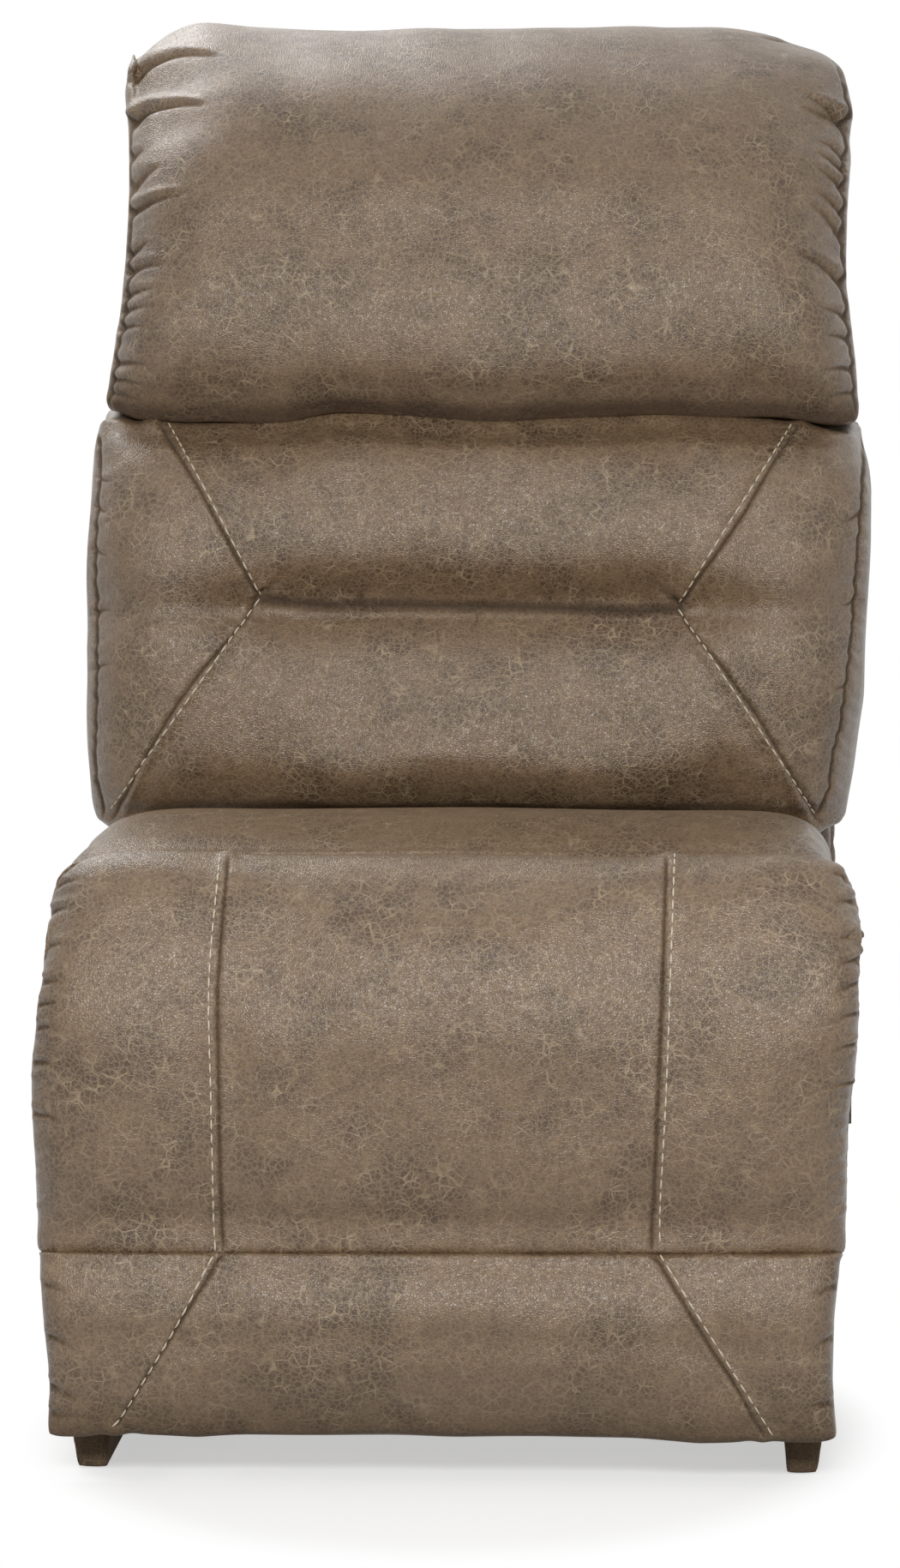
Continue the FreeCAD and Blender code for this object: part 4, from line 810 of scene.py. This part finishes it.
# %% Lumbar cushion
LUMBAR_LEFT = [
    (117, 491), (111, 516), (107, 559), (103, 629), (101, 678), (100, 757), (102, 799), (103, 878),
    (106, 923), (118, 961),
]
LUMBAR_RIGHT = [
    (1007, 497), (1015, 532), (1017, 559), (1015, 644), (1012, 728), (1008, 812), (996, 891),
    (984, 953), (970, 976),
]
LEFT_HOURGLASS = [(186, 486), (236, 575), (295, 688), (301, 700), (205, 822), (126, 960)]
RIGHT_HOURGLASS = [(933, 486), (868, 598), (800, 700), (793, 712), (882, 830), (961, 964)]
TUCK = [(301, 698), (340, 703), (371, 706), (440, 706), (513, 707), (640, 709), (748, 712), (793, 709)]
LUMBAR_FOLDS = [
    ([(113, 556), (121, 560), (131, 560)], 1.5, 4, 0.8),
    ([(110, 590), (119, 596), (130, 597)], 1.5, 4, 0.8),
    ([(108, 640), (117, 646), (127, 648)], 1.6, 4, 0.8),
    ([(110, 716), (119, 712), (130, 711)], 1.5, 4, 0.8),
    ([(109, 780), (118, 776), (130, 774)], 1.6, 4, 0.8),
    ([(1003, 600), (990, 607), (978, 607)], 1.6, 4, 0.8),
    ([(1000, 700), (988, 706), (976, 705)], 1.6, 4, 0.8),
    ([(990, 800), (978, 803), (966, 800)], 1.6, 4, 0.8),
    ([(310, 698), (322, 682), (332, 662)], 2.5, 7, 1.2),
    ([(786, 706), (772, 690), (764, 668)], 2.5, 7, 1.2),
    ([(420, 706), (426, 692), (436, 676)], 2.0, 6, 1.0),
    ([(560, 708), (556, 724), (548, 742)], 1.6, 6, 0.8),
    ([(680, 710), (684, 692), (694, 676)], 2.0, 6, 1.0),
]


def hold_lumbar(co, normal):
    """Backed by the straps behind, and sewn along the hourglass and the tuck."""
    seen, front = to_photo(co), normal[:, 1] < 0
    held = smoothstep(normal[:, 1], 0.2, 0.6)
    held = np.maximum(held, (nearest_of(seen, (LEFT_HOURGLASS, RIGHT_HOURGLASS, TUCK)) < 8) * front)
    return np.maximum(held, 0.6 * bell(near_line(seen, TUCK)[0], 22) * front)


def lower_fold(piece):
    """Sink the fold to the sewn line by 10 exp(-((z - 634) / 32)^2) mm, on the front only."""
    co, normal = read_points(piece)
    front = smoothstep(-normal[:, 1], -0.3, 0.3) * smoothstep(-co[:, 1], -250 * MM, -190 * MM)
    co[:, 2] -= 10 * MM * bell(co[:, 2] - 634 * MM, 32 * MM) * front
    write_points(piece, co)


# Height and y of the front in millimetres: both rolls belly out low, as stuffing settles
LUMBAR_PROFILE = [
    (455, 87), (465, 77), (480, 63), (495, 57), (509, 57.5), (523, 60), (537, 63.5), (551, 67.5),
    (565, 72.5), (579, 79), (592, 87), (605, 98), (619, 108), (633, 100), (647, 89.5), (662, 84),
    (676, 83), (690, 84.5), (704, 87), (718, 91), (731, 95.5), (745, 102.5), (759, 114),
]
LUMBAR_BOTTOM = [
    (118, 966), (130, 972), (200, 966), (268, 962), (469, 959), (670, 962), (804, 968), (900, 980),
    (964, 987),
]
LEFT_BOXING = [(112, 498), (115, 540), (110, 619), (109, 678), (111, 700), (110, 819), (109, 898), (120, 955)]
RIGHT_BOXING = [
    (1006, 505), (1009, 560), (1001, 672), (996, 742), (984, 841), (974, 883), (970, 922), (955, 958),
]

lumbar = skin_of("lumbar_cushion", "lumbar_cover", 5)
lower_fold(lumbar)
stuff(lumbar, hold_lumbar, (LUMBAR_LEFT, LUMBAR_RIGHT))
fit_edge(lumbar, LUMBAR_BOTTOM, False, 70)
fit_profile(lumbar, LUMBAR_PROFILE)
lumps(lumbar, 1.2)
follow_head_seam(lumbar, -1)
relax(lumbar, 4)
refine(lumbar, [LEFT_HOURGLASS, RIGHT_HOURGLASS, TUCK, LEFT_BOXING, RIGHT_BOXING], 18)
press(
    lumbar,
    seams=[
        (LEFT_HOURGLASS, 5, 4), (RIGHT_HOURGLASS, 5, 4), (TUCK, 2, 5),
        (LEFT_BOXING, 2.5, 3), (RIGHT_BOXING, 3, 3),
    ],
    folds=LUMBAR_FOLDS,
)
# Painted shade along the tuck, where the upper roll overhangs it
paint_shade_near(lumbar, TUCK, 7, 0.9)
gather(lumbar, LEFT_BOXING, 0.9, 16)
gather(lumbar, RIGHT_BOXING, 1.0, 20, -0.5)
cover_with(lumbar, COVER)

# %% [markdown]
# ### The headrest
# The pillow on top is rolled over the frame and gathered into a seam down each side, so its edges are
# full of short folds, with a deep one under each top corner where the top panel laps over the front.

# %% Headrest
HEADREST_LEFT = [
    (225, 26), (180, 44), (157, 65), (146, 128), (150, 148), (149, 220), (147, 300), (143, 350),
    (138, 383), (126, 449), (117, 491),
]
HEADREST_RIGHT = [
    (900, 40), (960, 58), (985, 80), (996, 129), (991, 167), (994, 182), (988, 247), (987, 300),
    (988, 330), (994, 375), (1003, 457), (1007, 497),
]
HEADREST_FOLDS = [
    ([(155, 94), (168, 80), (182, 71), (202, 64), (227, 62), (264, 66)], 6, 5, 3),
    ([(152, 144), (164, 133), (177, 126), (197, 122), (216, 120), (246, 122)], 8, 5, 4),
    ([(151, 186), (158, 179), (168, 173)], 3, 5, 1.5),
    ([(152, 219), (168, 203), (189, 190)], 5, 7, 2),
    ([(150, 248), (174, 235), (193, 228), (222, 223)], 6, 5, 3),
    ([(150, 298), (164, 286), (176, 279)], 4, 5, 1.5),
    ([(148, 318), (168, 309), (196, 307)], 5, 6, 2),
    ([(146, 346), (160, 339), (184, 334)], 3.5, 5, 1.5),
    ([(142, 364), (158, 358), (178, 356)], 3, 5, 1.5),
    ([(137, 384), (154, 380), (176, 381)], 3.5, 5, 1.5),
    ([(133, 424), (150, 424), (176, 428)], 4, 6, 2),
    ([(130, 443), (148, 446), (170, 452)], 3.5, 5, 1.5),
    ([(128, 459), (146, 464), (168, 470)], 3, 5, 1),
    ([(989, 92), (981, 74), (969, 62), (952, 54), (930, 49), (880, 41)], 8, 5, 4),
    ([(991, 154), (982, 137), (971, 127), (956, 118), (938, 108)], 8, 5, 4),
    ([(980, 140), (960, 133), (930, 122)], 3.5, 9, 1.5),
    ([(988, 186), (969, 168), (950, 162)], 4, 5, 2),
    ([(988, 200), (967, 183), (944, 173)], 3.5, 5, 1.5),
    ([(987, 222), (969, 204), (948, 191)], 4, 5, 2),
    ([(986, 252), (967, 231), (946, 221)], 4, 5, 2),
    ([(986, 278), (963, 250), (940, 234)], 4, 6, 2),
    ([(990, 336), (969, 314), (948, 301), (924, 289)], 7, 5, 3.5),
    ([(992, 372), (974, 362), (950, 356)], 3, 5, 1.5),
    ([(996, 398), (980, 392), (956, 391)], 3.5, 5, 1.5),
    ([(1000, 432), (984, 430), (958, 433)], 4, 6, 2),
    ([(1003, 458), (986, 460), (962, 466)], 3, 5, 1.5),
]


def hold_headrest(co, normal):
    """Backed by the frame behind and below, and sewn to the lumbar cushion along its lower seam."""
    above = co[:, 2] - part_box("headrest_cushion")[0].z
    rear = smoothstep(normal[:, 1], 0.5, 0.9) * smoothstep(-above, -280 * MM, -200 * MM)
    sewn = smoothstep(-above, -20 * MM, -8 * MM)
    return np.maximum(rear, sewn)


HEAD_TOP = [
    (155, 84), (163, 60), (188, 40), (225, 26), (270, 30), (400, 36),
    (560, 33), (847, 31), (900, 41), (960, 58), (990, 76),
]
LEFT_HEAD_SIDE = [
    (151, 132), (151, 200), (150, 290), (146, 350), (134, 420), (124, 480),
]
RIGHT_HEAD_SIDE = [
    (986, 90), (989, 130), (986, 215), (985, 300), (987, 345), (995, 420), (1001, 490),
]

# Height and y of the front in millimetres: the roll is fullest low down and turns in to the seam
HEADREST_PROFILE = [
    (786, 120), (801, 106), (815, 98), (829, 95), (843, 94.2), (857, 95.2), (871, 97.2),
    (885, 100), (899, 104), (920, 112), (941, 121),
]

headrest = skin_of("headrest_cushion", "headrest_cover", 6)
stuff(headrest, hold_headrest, (HEADREST_LEFT, HEADREST_RIGHT))
fit_edge(headrest, HEAD_TOP, True, 90)
fit_profile(headrest, HEADREST_PROFILE, top_fade=90 * MM)
lumps(headrest, 1.5)
follow_head_seam(headrest, 1)
relax(headrest, 6)
refine(headrest, [fold[0] for fold in HEADREST_FOLDS] + [LEFT_HEAD_SIDE, RIGHT_HEAD_SIDE], 20)
press(headrest, seams=[(LEFT_HEAD_SIDE, 2, 3), (RIGHT_HEAD_SIDE, 2.5, 3)], folds=HEADREST_FOLDS)
gather(headrest, LEFT_HEAD_SIDE, 0.8, 22)
gather(headrest, RIGHT_HEAD_SIDE, 1.0, 26, -0.9)
relax(headrest, 1)
# Painted shade in a broad band along the head seam, under the headrest's overhang
paint_shade_near(headrest, HEAD_SEAM, 38, 0.42)
cover_with(headrest, COVER)

# %% [markdown]
# ### The seat and the front
# The seat cushion shows as a sliver behind the front seam. The chaise pad rolls over the front and
# hangs down, cut in three panels by two upright seams. The bolster below it has a slanting seam at
# each side. The pad crosses from the seat to the footrest; on the real chair it bends when the
# footrest opens, but here it is one still piece.

# %% Seat cushion
def hold_seat(co, normal):
    """Backed by the foam below, and sewn to the pad along its front edge."""
    behind = co[:, 1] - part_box("seat_cushion")[0].y
    return np.maximum(smoothstep(-normal[:, 2], 0.2, 0.6), smoothstep(-behind, -20 * MM, 0))


seat = skin_of("seat_cushion", "seat_cover", 4)
puff(seat, hold_seat, 7 * MM)
divide(seat)
press(seat)
cover_with(seat, SEAT_COVER)

# %% Chaise pad
PAD_LEFT = [
    (88, 1003), (73, 1016), (63, 1032), (57, 1064), (52, 1103), (48, 1147), (43, 1166), (41, 1198),
    (37, 1238), (38, 1300), (43, 1440), (45, 1460),
]
PAD_RIGHT = [
    (985, 1005), (993, 1024), (1000, 1047), (1006, 1085), (1005, 1116), (1003, 1143), (1002, 1179),
    (1000, 1227), (997, 1263), (991, 1315), (989, 1363), (988, 1401), (986, 1449), (985, 1460),
]
LEFT_PAD_SEAM = [(267, 992), (255, 1141), (256, 1275), (259, 1409), (260, 1462)]
RIGHT_PAD_SEAM = [(777, 992), (772, 1141), (767, 1275), (761, 1409), (760, 1462)]
PAD_FOLDS = [
    ([(62, 1034), (76, 1028), (94, 1026)], 3, 5, 1.5),
    ([(57, 1066), (72, 1060), (90, 1058)], 3, 5, 1.5),
    ([(53, 1104), (68, 1100), (84, 1100)], 2.5, 5, 1.2),
    ([(49, 1146), (66, 1143), (84, 1145)], 3, 5, 1.5),
    ([(45, 1172), (62, 1170), (78, 1173)], 2.5, 5, 1.2),
    ([(42, 1200), (60, 1198), (80, 1202)], 2.5, 5, 1.2),
    ([(39, 1240), (56, 1241), (76, 1247)], 2.2, 5, 1),
    ([(40, 1300), (56, 1303), (72, 1309)], 2, 5, 1),
    ([(994, 1028), (982, 1020), (966, 1016)], 3, 5, 1.5),
    ([(1002, 1052), (986, 1050), (966, 1052)], 4, 5, 2),
    ([(1006, 1088), (990, 1092), (970, 1100)], 4, 5, 2),
    ([(1005, 1118), (988, 1122), (968, 1130)], 3, 5, 1.5),
    ([(1003, 1146), (988, 1152), (968, 1162)], 3, 5, 1.5),
    ([(1002, 1182), (986, 1187), (966, 1196)], 3, 5, 1.5),
    ([(1000, 1218), (984, 1222), (966, 1230)], 2.5, 5, 1.2),
    ([(997, 1262), (982, 1266), (964, 1272)], 2, 5, 1),
]


def hold_pad(co, normal):
    """Backed by the board and the arms inside, and sewn at its rear, its hem and its two seams."""
    low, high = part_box("chaise_pad")
    held = smoothstep(normal[:, 1], 0.3, 0.7)
    held = np.maximum(held, smoothstep(co[:, 1] - high.y, -12 * MM, 0))
    held = np.maximum(held, smoothstep(low.z - co[:, 2], -14 * MM, -4 * MM))
    sewn = nearest_of(to_photo(co), (LEFT_PAD_SEAM, RIGHT_PAD_SEAM)) < 7
    return np.maximum(held, sewn * (normal[:, 1] < 0.2))


LEFT_PAD_EDGE = [
    (88, 1004), (70, 1020), (60, 1050), (53, 1103), (45, 1165), (40, 1238), (40, 1300), (45, 1440),
]
RIGHT_PAD_EDGE = [
    (978, 1002), (992, 1024), (1000, 1050), (1005, 1086), (1002, 1143), (1000, 1227), (990, 1315),
    (986, 1440),
]

PAD_BOTTOM = [(45, 1464), (985, 1464)]

pad = skin_of("chaise_pad", "chaise_pad_cover", 4)
belly(pad, 425, 30, -10)
belly(pad, 345, 35, 4)
stuff(pad, hold_pad, (PAD_LEFT, PAD_RIGHT))
fit_edge(pad, PAD_BOTTOM, False, 24)
lumps(pad, 0.9)
relax(pad, 4)
refine(pad, [LEFT_PAD_SEAM, RIGHT_PAD_SEAM, LEFT_PAD_EDGE, RIGHT_PAD_EDGE], 20)
press(pad, seams=[(LEFT_PAD_SEAM, 4, 4), (RIGHT_PAD_SEAM, 4, 4)], folds=PAD_FOLDS)
gather(pad, LEFT_PAD_EDGE, 1.0, 24)
gather(pad, RIGHT_PAD_EDGE, 1.3, 28, -0.8)
cover_with(pad, BENDING_COVER)

# %% Bolster
BOLSTER_LEFT = [
    (45, 1460), (46, 1475), (51, 1542), (58, 1615), (55, 1634), (57, 1654), (65, 1673),
]
BOLSTER_RIGHT = [(984, 1460), (979, 1493), (974, 1542), (972, 1611), (976, 1636), (980, 1675)]
LEFT_BOLSTER_SEAM = [(260, 1458), (221, 1527), (178, 1597), (134, 1668)]
RIGHT_BOLSTER_SEAM = [(761, 1458), (815, 1553), (855, 1616), (894, 1680)]
BOLSTER_TOP = [(45, 1457), (985, 1457)]
BOLSTER_HEM = [(65, 1677), (140, 1675), (525, 1681), (905, 1684), (972, 1683)]
BOLSTER_FOLDS = [
    ([(52, 1500), (68, 1504), (84, 1512)], 2.5, 5, 1),
    ([(56, 1560), (72, 1566), (90, 1578)], 2.5, 5, 1),
    ([(58, 1618), (74, 1626), (96, 1632)], 3, 6, 1.5),
    ([(60, 1650), (80, 1655), (104, 1654)], 3, 6, 1.5),
    ([(978, 1500), (962, 1506), (944, 1514)], 2.5, 5, 1),
    ([(973, 1560), (958, 1568), (940, 1580)], 2.5, 5, 1),
    ([(974, 1636), (958, 1640), (936, 1640)], 3, 6, 1.5),
]


def hold_bolster(co, normal):
    """Backed by the board behind, and sewn along its top and its slanting seams."""
    held = smoothstep(normal[:, 1], 0.3, 0.7)
    above = co[:, 2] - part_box("footrest_bolster")[1].z
    held = np.maximum(held, smoothstep(above, -14 * MM, -4 * MM))
    sewn = nearest_of(to_photo(co), (LEFT_BOLSTER_SEAM, RIGHT_BOLSTER_SEAM)) < 7
    return np.maximum(held, sewn * (normal[:, 1] < 0))


bolster = skin_of("footrest_bolster", "bolster_cover", 4)
stuff(bolster, hold_bolster, (BOLSTER_LEFT, BOLSTER_RIGHT), 9 * MM)
fit_edge(bolster, BOLSTER_TOP, True, 24)
fit_edge(bolster, BOLSTER_HEM, False, 50)
lumps(bolster, 1.0)
relax(bolster, 4)
refine(bolster, [LEFT_BOLSTER_SEAM, RIGHT_BOLSTER_SEAM], 14)
press(bolster, seams=[(LEFT_BOLSTER_SEAM, 4, 4), (RIGHT_BOLSTER_SEAM, 4, 4)], folds=BOLSTER_FOLDS)
# Painted shade along the hem, darker towards the floor
paint_shade_near(bolster, BOLSTER_HEM, 34, 0.3)
cover_with(bolster, COVER)

# %% [markdown]
# ### Topstitching
# Each stitch is a short bar of thread, a little arched, that lies on the cover with its ends sunk into
# the needle holes. A bump map could suggest it, but real bars catch the light and cast a shadow. The
# line is walked in the photograph at an even pitch, and each stitch is dropped on to the cushion along
# the camera's ray.

# %% Stitches
STITCH_PITCH, STITCH_LONG, STITCH_THICK = 10.6 * MM, 8.2 * MM, 1.5 * MM
BACK_STITCHES = [
    [(196, 493), (245, 582), (304, 694)],
    [(304, 697), (215, 822), (127, 947)],
    [(924, 494), (860, 596), (790, 706)],
    [(790, 709), (872, 830), (951, 951)],
]
PAD_STITCHES = [
    [(257, 992), (244, 1141), (246, 1275), (249, 1409), (251, 1457)],
    [(787, 992), (782, 1141), (777, 1275), (770, 1409), (770, 1457)],
]
BOLSTER_STITCHES = [
    [(249, 1464), (201, 1554), (144, 1648), (124, 1668)],
    [(770, 1464), (824, 1551), (900, 1672)],
]


def surface_of(piece):
    """A tree of the piece's faces that finds where a ray meets them."""
    faces = [tuple(face.vertices) for face in piece.data.polygons]
    return BVHTree.FromPolygons(read_points(piece)[0].tolist(), faces)


def drop_line(tree, line):
    """The places and normals where the camera's rays through a line meet the surface."""
    places, normals = [], []
    for pixel in smooth_line(line, 40):
        place, normal, _, _ = tree.ray_cast(Vector(EYE), Vector(ray_of(pixel)).normalized())
        if place is not None:
            places.append(place)
            normals.append(normal)
    return np.array(places), np.array(normals)


def stitch_shape(rings=9, sides=8):
    """One stitch along X: radius sin(pi t)^0.4 at a share t of its length, arched by 4t(1 - t)."""
    t = np.linspace(0, 1, rings)
    radius = 0.5 * np.clip(np.sin(math.pi * t), 0.02, 1) ** 0.4
    turn = np.linspace(0, 2 * math.pi, sides, endpoint=False)
    x = np.repeat(t - 0.5, sides) * STITCH_LONG
    y = np.outer(radius, np.cos(turn)).ravel() * STITCH_THICK
    z = np.outer(radius, np.sin(turn)).ravel() * STITCH_THICK
    z += np.repeat(4 * t * (1 - t), sides) * 0.35 * STITCH_THICK
    ring, side = np.meshgrid(np.arange(rings - 1), np.arange(sides), indexing="ij")
    a = (ring * sides + side).ravel()
    b = (ring * sides + (side + 1) % sides).ravel()
    faces = np.stack([a, b, b + sides, a + sides], axis=1)
    ends = [list(range(sides))[::-1], list(range((rings - 1) * sides, rings * sides))]
    return np.stack([x, y, z], axis=1), faces, ends


def at(spot, walked, values):
    """A place or a normal at a distance along a walked path."""
    return np.array([np.interp(spot, walked, values[:, i]) for i in range(3)])


def topstitch(name, piece, lines):
    """All the stitches of some lines, laid on a piece, as one mesh."""
    tree = surface_of(piece)
    shape, quads, ends = stitch_shape()
    points, faces = [], []
    for line in lines:
        places, normals = drop_line(tree, line)
        walked = np.concatenate([[0], np.cumsum(np.linalg.norm(np.diff(places, axis=0), axis=1))])
        for spot in np.arange(0.5 * STITCH_PITCH, walked[-1], STITCH_PITCH):
            along = at(spot + 2 * MM, walked, places) - at(spot - 2 * MM, walked, places)
            along /= np.linalg.norm(along)
            up = at(spot, walked, normals)
            up -= along * (up @ along)
            up /= np.linalg.norm(up)
            middle = at(spot, walked, places) + up * 0.12 * STITCH_THICK
            first = len(points) * len(shape)
            points.append(middle + shape @ np.stack([along, np.cross(up, along), up]))
            faces += (quads + first).tolist()
            faces += [[index + first for index in end] for end in ends]
    mesh = bpy.data.meshes.new(name)
    mesh.from_pydata(np.vstack(points).tolist(), [], faces)
    mesh.shade_smooth()
    mesh.materials.append(THREAD)
    print(name, "has", len(points), "stitches")
    return new_object(name, mesh)


back_stitching = topstitch("back_topstitching", lumbar, BACK_STITCHES)
pad_stitching = topstitch("pad_topstitching", pad, PAD_STITCHES)
bolster_stitching = topstitch("bolster_topstitching", bolster, BOLSTER_STITCHES)

# %% [markdown]
# ## Boards that are wrapped in cover
# The outside back, the sides, the base panel and the base rails are boards with a thin layer of
# wadding under the cover. Their edges are soft, and the cover ripples very slightly between its
# staples. They start from the plain boards too, with a finer relaxing and a small wave.


# %% Wrapped boards
WAVE = 0.5 * MM
FOOT_OUT = 5 * MM


def wrap(node):
    """A board's shape with soft edges and a slow ripple: two crossed sines of 150 mm and 90 mm.

    What ends less than a centimetre over the floor is drawn down to it, as the cover of a foot is.
    The foot at the front of a rail is FOOT_OUT wider outside, and covers are darkened near the floor with
    painted shade and a little dirt.
    """
    rail = "rail" in node
    piece = skin_of(node, node + "_cover", 3, 4 * MM if rail else 6 * MM)
    co, normal = read_points(piece)
    gap = co[:, 2].min()
    if gap < 10 * MM:
        co[:, 2] -= (gap - 0.3 * MM) * smoothstep(-co[:, 2], -(gap + 15 * MM), -gap)
    if rail:
        foot = smoothstep(-co[:, 2], -70 * MM, -50 * MM) * smoothstep(-co[:, 1], 330 * MM, 370 * MM)
        side = np.sign(co[:, 0])
        co[:, 0] += FOOT_OUT * side * foot * smoothstep(normal[:, 0] * side, -0.2, 0.5)
    ripple = np.sin(co[:, 0] / 0.024 + 1.3) * np.sin(co[:, 2] / 0.014 + co[:, 1] / 0.03)
    write_points(piece, co + normal * (WAVE * ripple)[:, None])
    # Painted shade, with a little dirt: the crease darkens the cover up to 60 mm over the floor
    keep_attribute(piece, "crease", "FLOAT", 0.4 * smoothstep(-co[:, 2], -60 * MM, -30 * MM))
    piece.data.materials.append(COVER)
    return piece


def stand_for(piece, node, body):
    """Let a piece ride on a body, and hide the node that it stands for."""
    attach(piece, body)
    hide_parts(node)


WRAPPED = {
    "back": ("outside_back", "left_back_side", "right_back_side"),
    "seat": ("left_seat_panel", "right_seat_panel"),
    "base": ("rear_base_panel", "left_side_rail", "right_side_rail"),
}
for body, nodes in WRAPPED.items():
    for node in nodes:
        stand_for(wrap(node), node, body)
    print("wrapped on the %s: %s" % (body, ", ".join(nodes)))

# %% [markdown]
# ## Joining the pieces to the frame
# Every piece but the pad and its stitching rides on the body that carries it. The pad and its
# stitching cross the footrest's pivot, and are left in place on no body. The cover's pattern on the
# pad reads where each point is now, kept as its rest place.

# %% Bodies
keep_attribute(pad, "rest_place", "FLOAT_VECTOR", read_points(pad)[0])
for piece, body, node, fill in (
    (lumbar, "back", "lumbar_cushion", 0.75),
    (headrest, "back", "headrest_cushion", 0.65),
    (seat, "seat", "seat_cushion", 0.8),
    (bolster, "footrest", "footrest_bolster", 0.8),
):
    stand_for(piece, node, body)
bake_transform(pad)
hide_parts("chaise_pad")
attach(back_stitching, "back")
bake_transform(pad_stitching)
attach(bolster_stitching, "footrest")
print("pieces ride on their bodies")

# %% [markdown]
# ## Floor and light
# The photograph has a white ground with a soft shadow. The floor is pale and matt. The light is that
# of a studio: a large soft lamp high in front, a weaker one from the left behind that draws a bright
# rim along the top, and an even sky that fills the shadows. The backdrop shows white to the camera
# without adding light to the object.


# %% Floor
SHADOW_MIDDLE = (0, -0.25, 0)  # metres
SHADOW_SPAN = (0.27, 0.42, 1.0)  # metres from there, to the side and to the front
WHITE_SHARE = 1.27  # the ground is plain white at this many spans


def seen_or_mirrored(tree):
    """1 for rays from the camera and for what gloss and glass show of the ground, 0 for light."""
    path = add(tree, "LightPath").outputs
    gloss = add(tree, "Math", {0: path["Is Camera Ray"], 1: path["Is Glossy Ray"]}, operation="MAXIMUM")
    return add(tree, "Math", {0: gloss, 1: path["Is Transmission Ray"]}, operation="MAXIMUM")


def make_floor():
    """A square floor at height zero, 12 m wide.

    To the camera it is pale paper that catches the shadow and glows by as much as brings its lit part
    to white, and past the shadow it is plain white. To the light it is a mid grey, so that it throws
    no more light up under the object than a studio floor does.
    """
    mesh = bpy.data.meshes.new("floor")
    mesh.from_pydata([(-6, -6, 0), (6, -6, 0), (6, 6, 0), (-6, 6, 0)], [], [(0, 1, 2, 3)])
    material = bpy.data.materials.new("white_paper_sweep")
    tree = empty_graph(material)
    paper = add(tree, "BsdfDiffuse", {"Color": "#CFCFCF"})
    carpet = add(tree, "BsdfDiffuse", {"Color": "#8C8C8C"})
    glow = add(tree, "Emission", {"Color": "#FFFFFF", "Strength": 0.53})
    lit = add(tree, "AddShader", {0: paper, 1: glow})
    white = add(tree, "Emission", {"Color": "#FFFFFF", "Strength": 1.0})
    place = add(tree, "TexCoord").outputs["Object"]
    moved = add(tree, "VectorMath", {0: place, 1: SHADOW_MIDDLE}, operation="SUBTRACT")
    spans = add(tree, "VectorMath", {0: moved, 1: SHADOW_SPAN}, operation="DIVIDE")
    away = add(tree, "VectorMath", {0: spans}, operation="LENGTH").outputs["Value"]
    far = add(tree, "MapRange", {0: away, 1: 1, 2: WHITE_SHARE}, interpolation_type="SMOOTHSTEP")
    shown = add(tree, "MixShader", {0: far, 1: lit, 2: white})
    seen = add(tree, "MixShader", {0: seen_or_mirrored(tree), 1: carpet, 2: shown})
    add(tree, "OutputMaterial", {"Surface": seen})
    mesh.materials.append(material)
    new_object("floor", mesh)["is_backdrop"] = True


make_floor()
print("floor made")


# %% Lamps and sky
def soft_lamp(name, place, target, size, watts):
    """A rectangular area lamp at a place, turned to a target."""
    data = bpy.data.lights.new(name, "AREA")
    data.shape = "RECTANGLE"
    data.size, data.size_y = size
    data.energy = watts
    lamp = new_object(name, data)
    lamp.location = place
    turn_to(lamp, Vector(target) - Vector(place))


soft_lamp("front softbox", (0.12, -3.6, 1.75), (0, 0, 0.75), (1.6, 0.7), 77)
soft_lamp("rim softbox", (-1.0, 1.5, 2.3), (-0.1, 0.1, 0.9), (1.6, 0.8), 25)

world = bpy.data.worlds.new("studio")
bpy.context.scene.world = world
sky = empty_graph(world)
light = add(sky, "Background", {"Color": "#FFFFFF", "Strength": 0.33})
white = add(sky, "Background", {"Color": "#FFFFFF", "Strength": 1.0})
mixed = add(sky, "MixShader", {0: seen_or_mirrored(sky), 1: light, 2: white})
add(sky, "OutputWorld", {"Surface": mixed})
print("two lamps and an even sky")

# %% [markdown]
# ## Measuring
# The dressed object ought to keep the size of the frame, apart from a little that soft cover may stand
# proud. Both boxes are printed.

boxes = {
    "cad": [list(corner) for corner in CAD_BOX],
    "visual": [list(corner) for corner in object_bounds()],
}
for name, (low, high) in boxes.items():
    print(name, "box:", " x ".join("%.1f mm" % (1000 * (b - a)) for a, b in zip(low, high)))
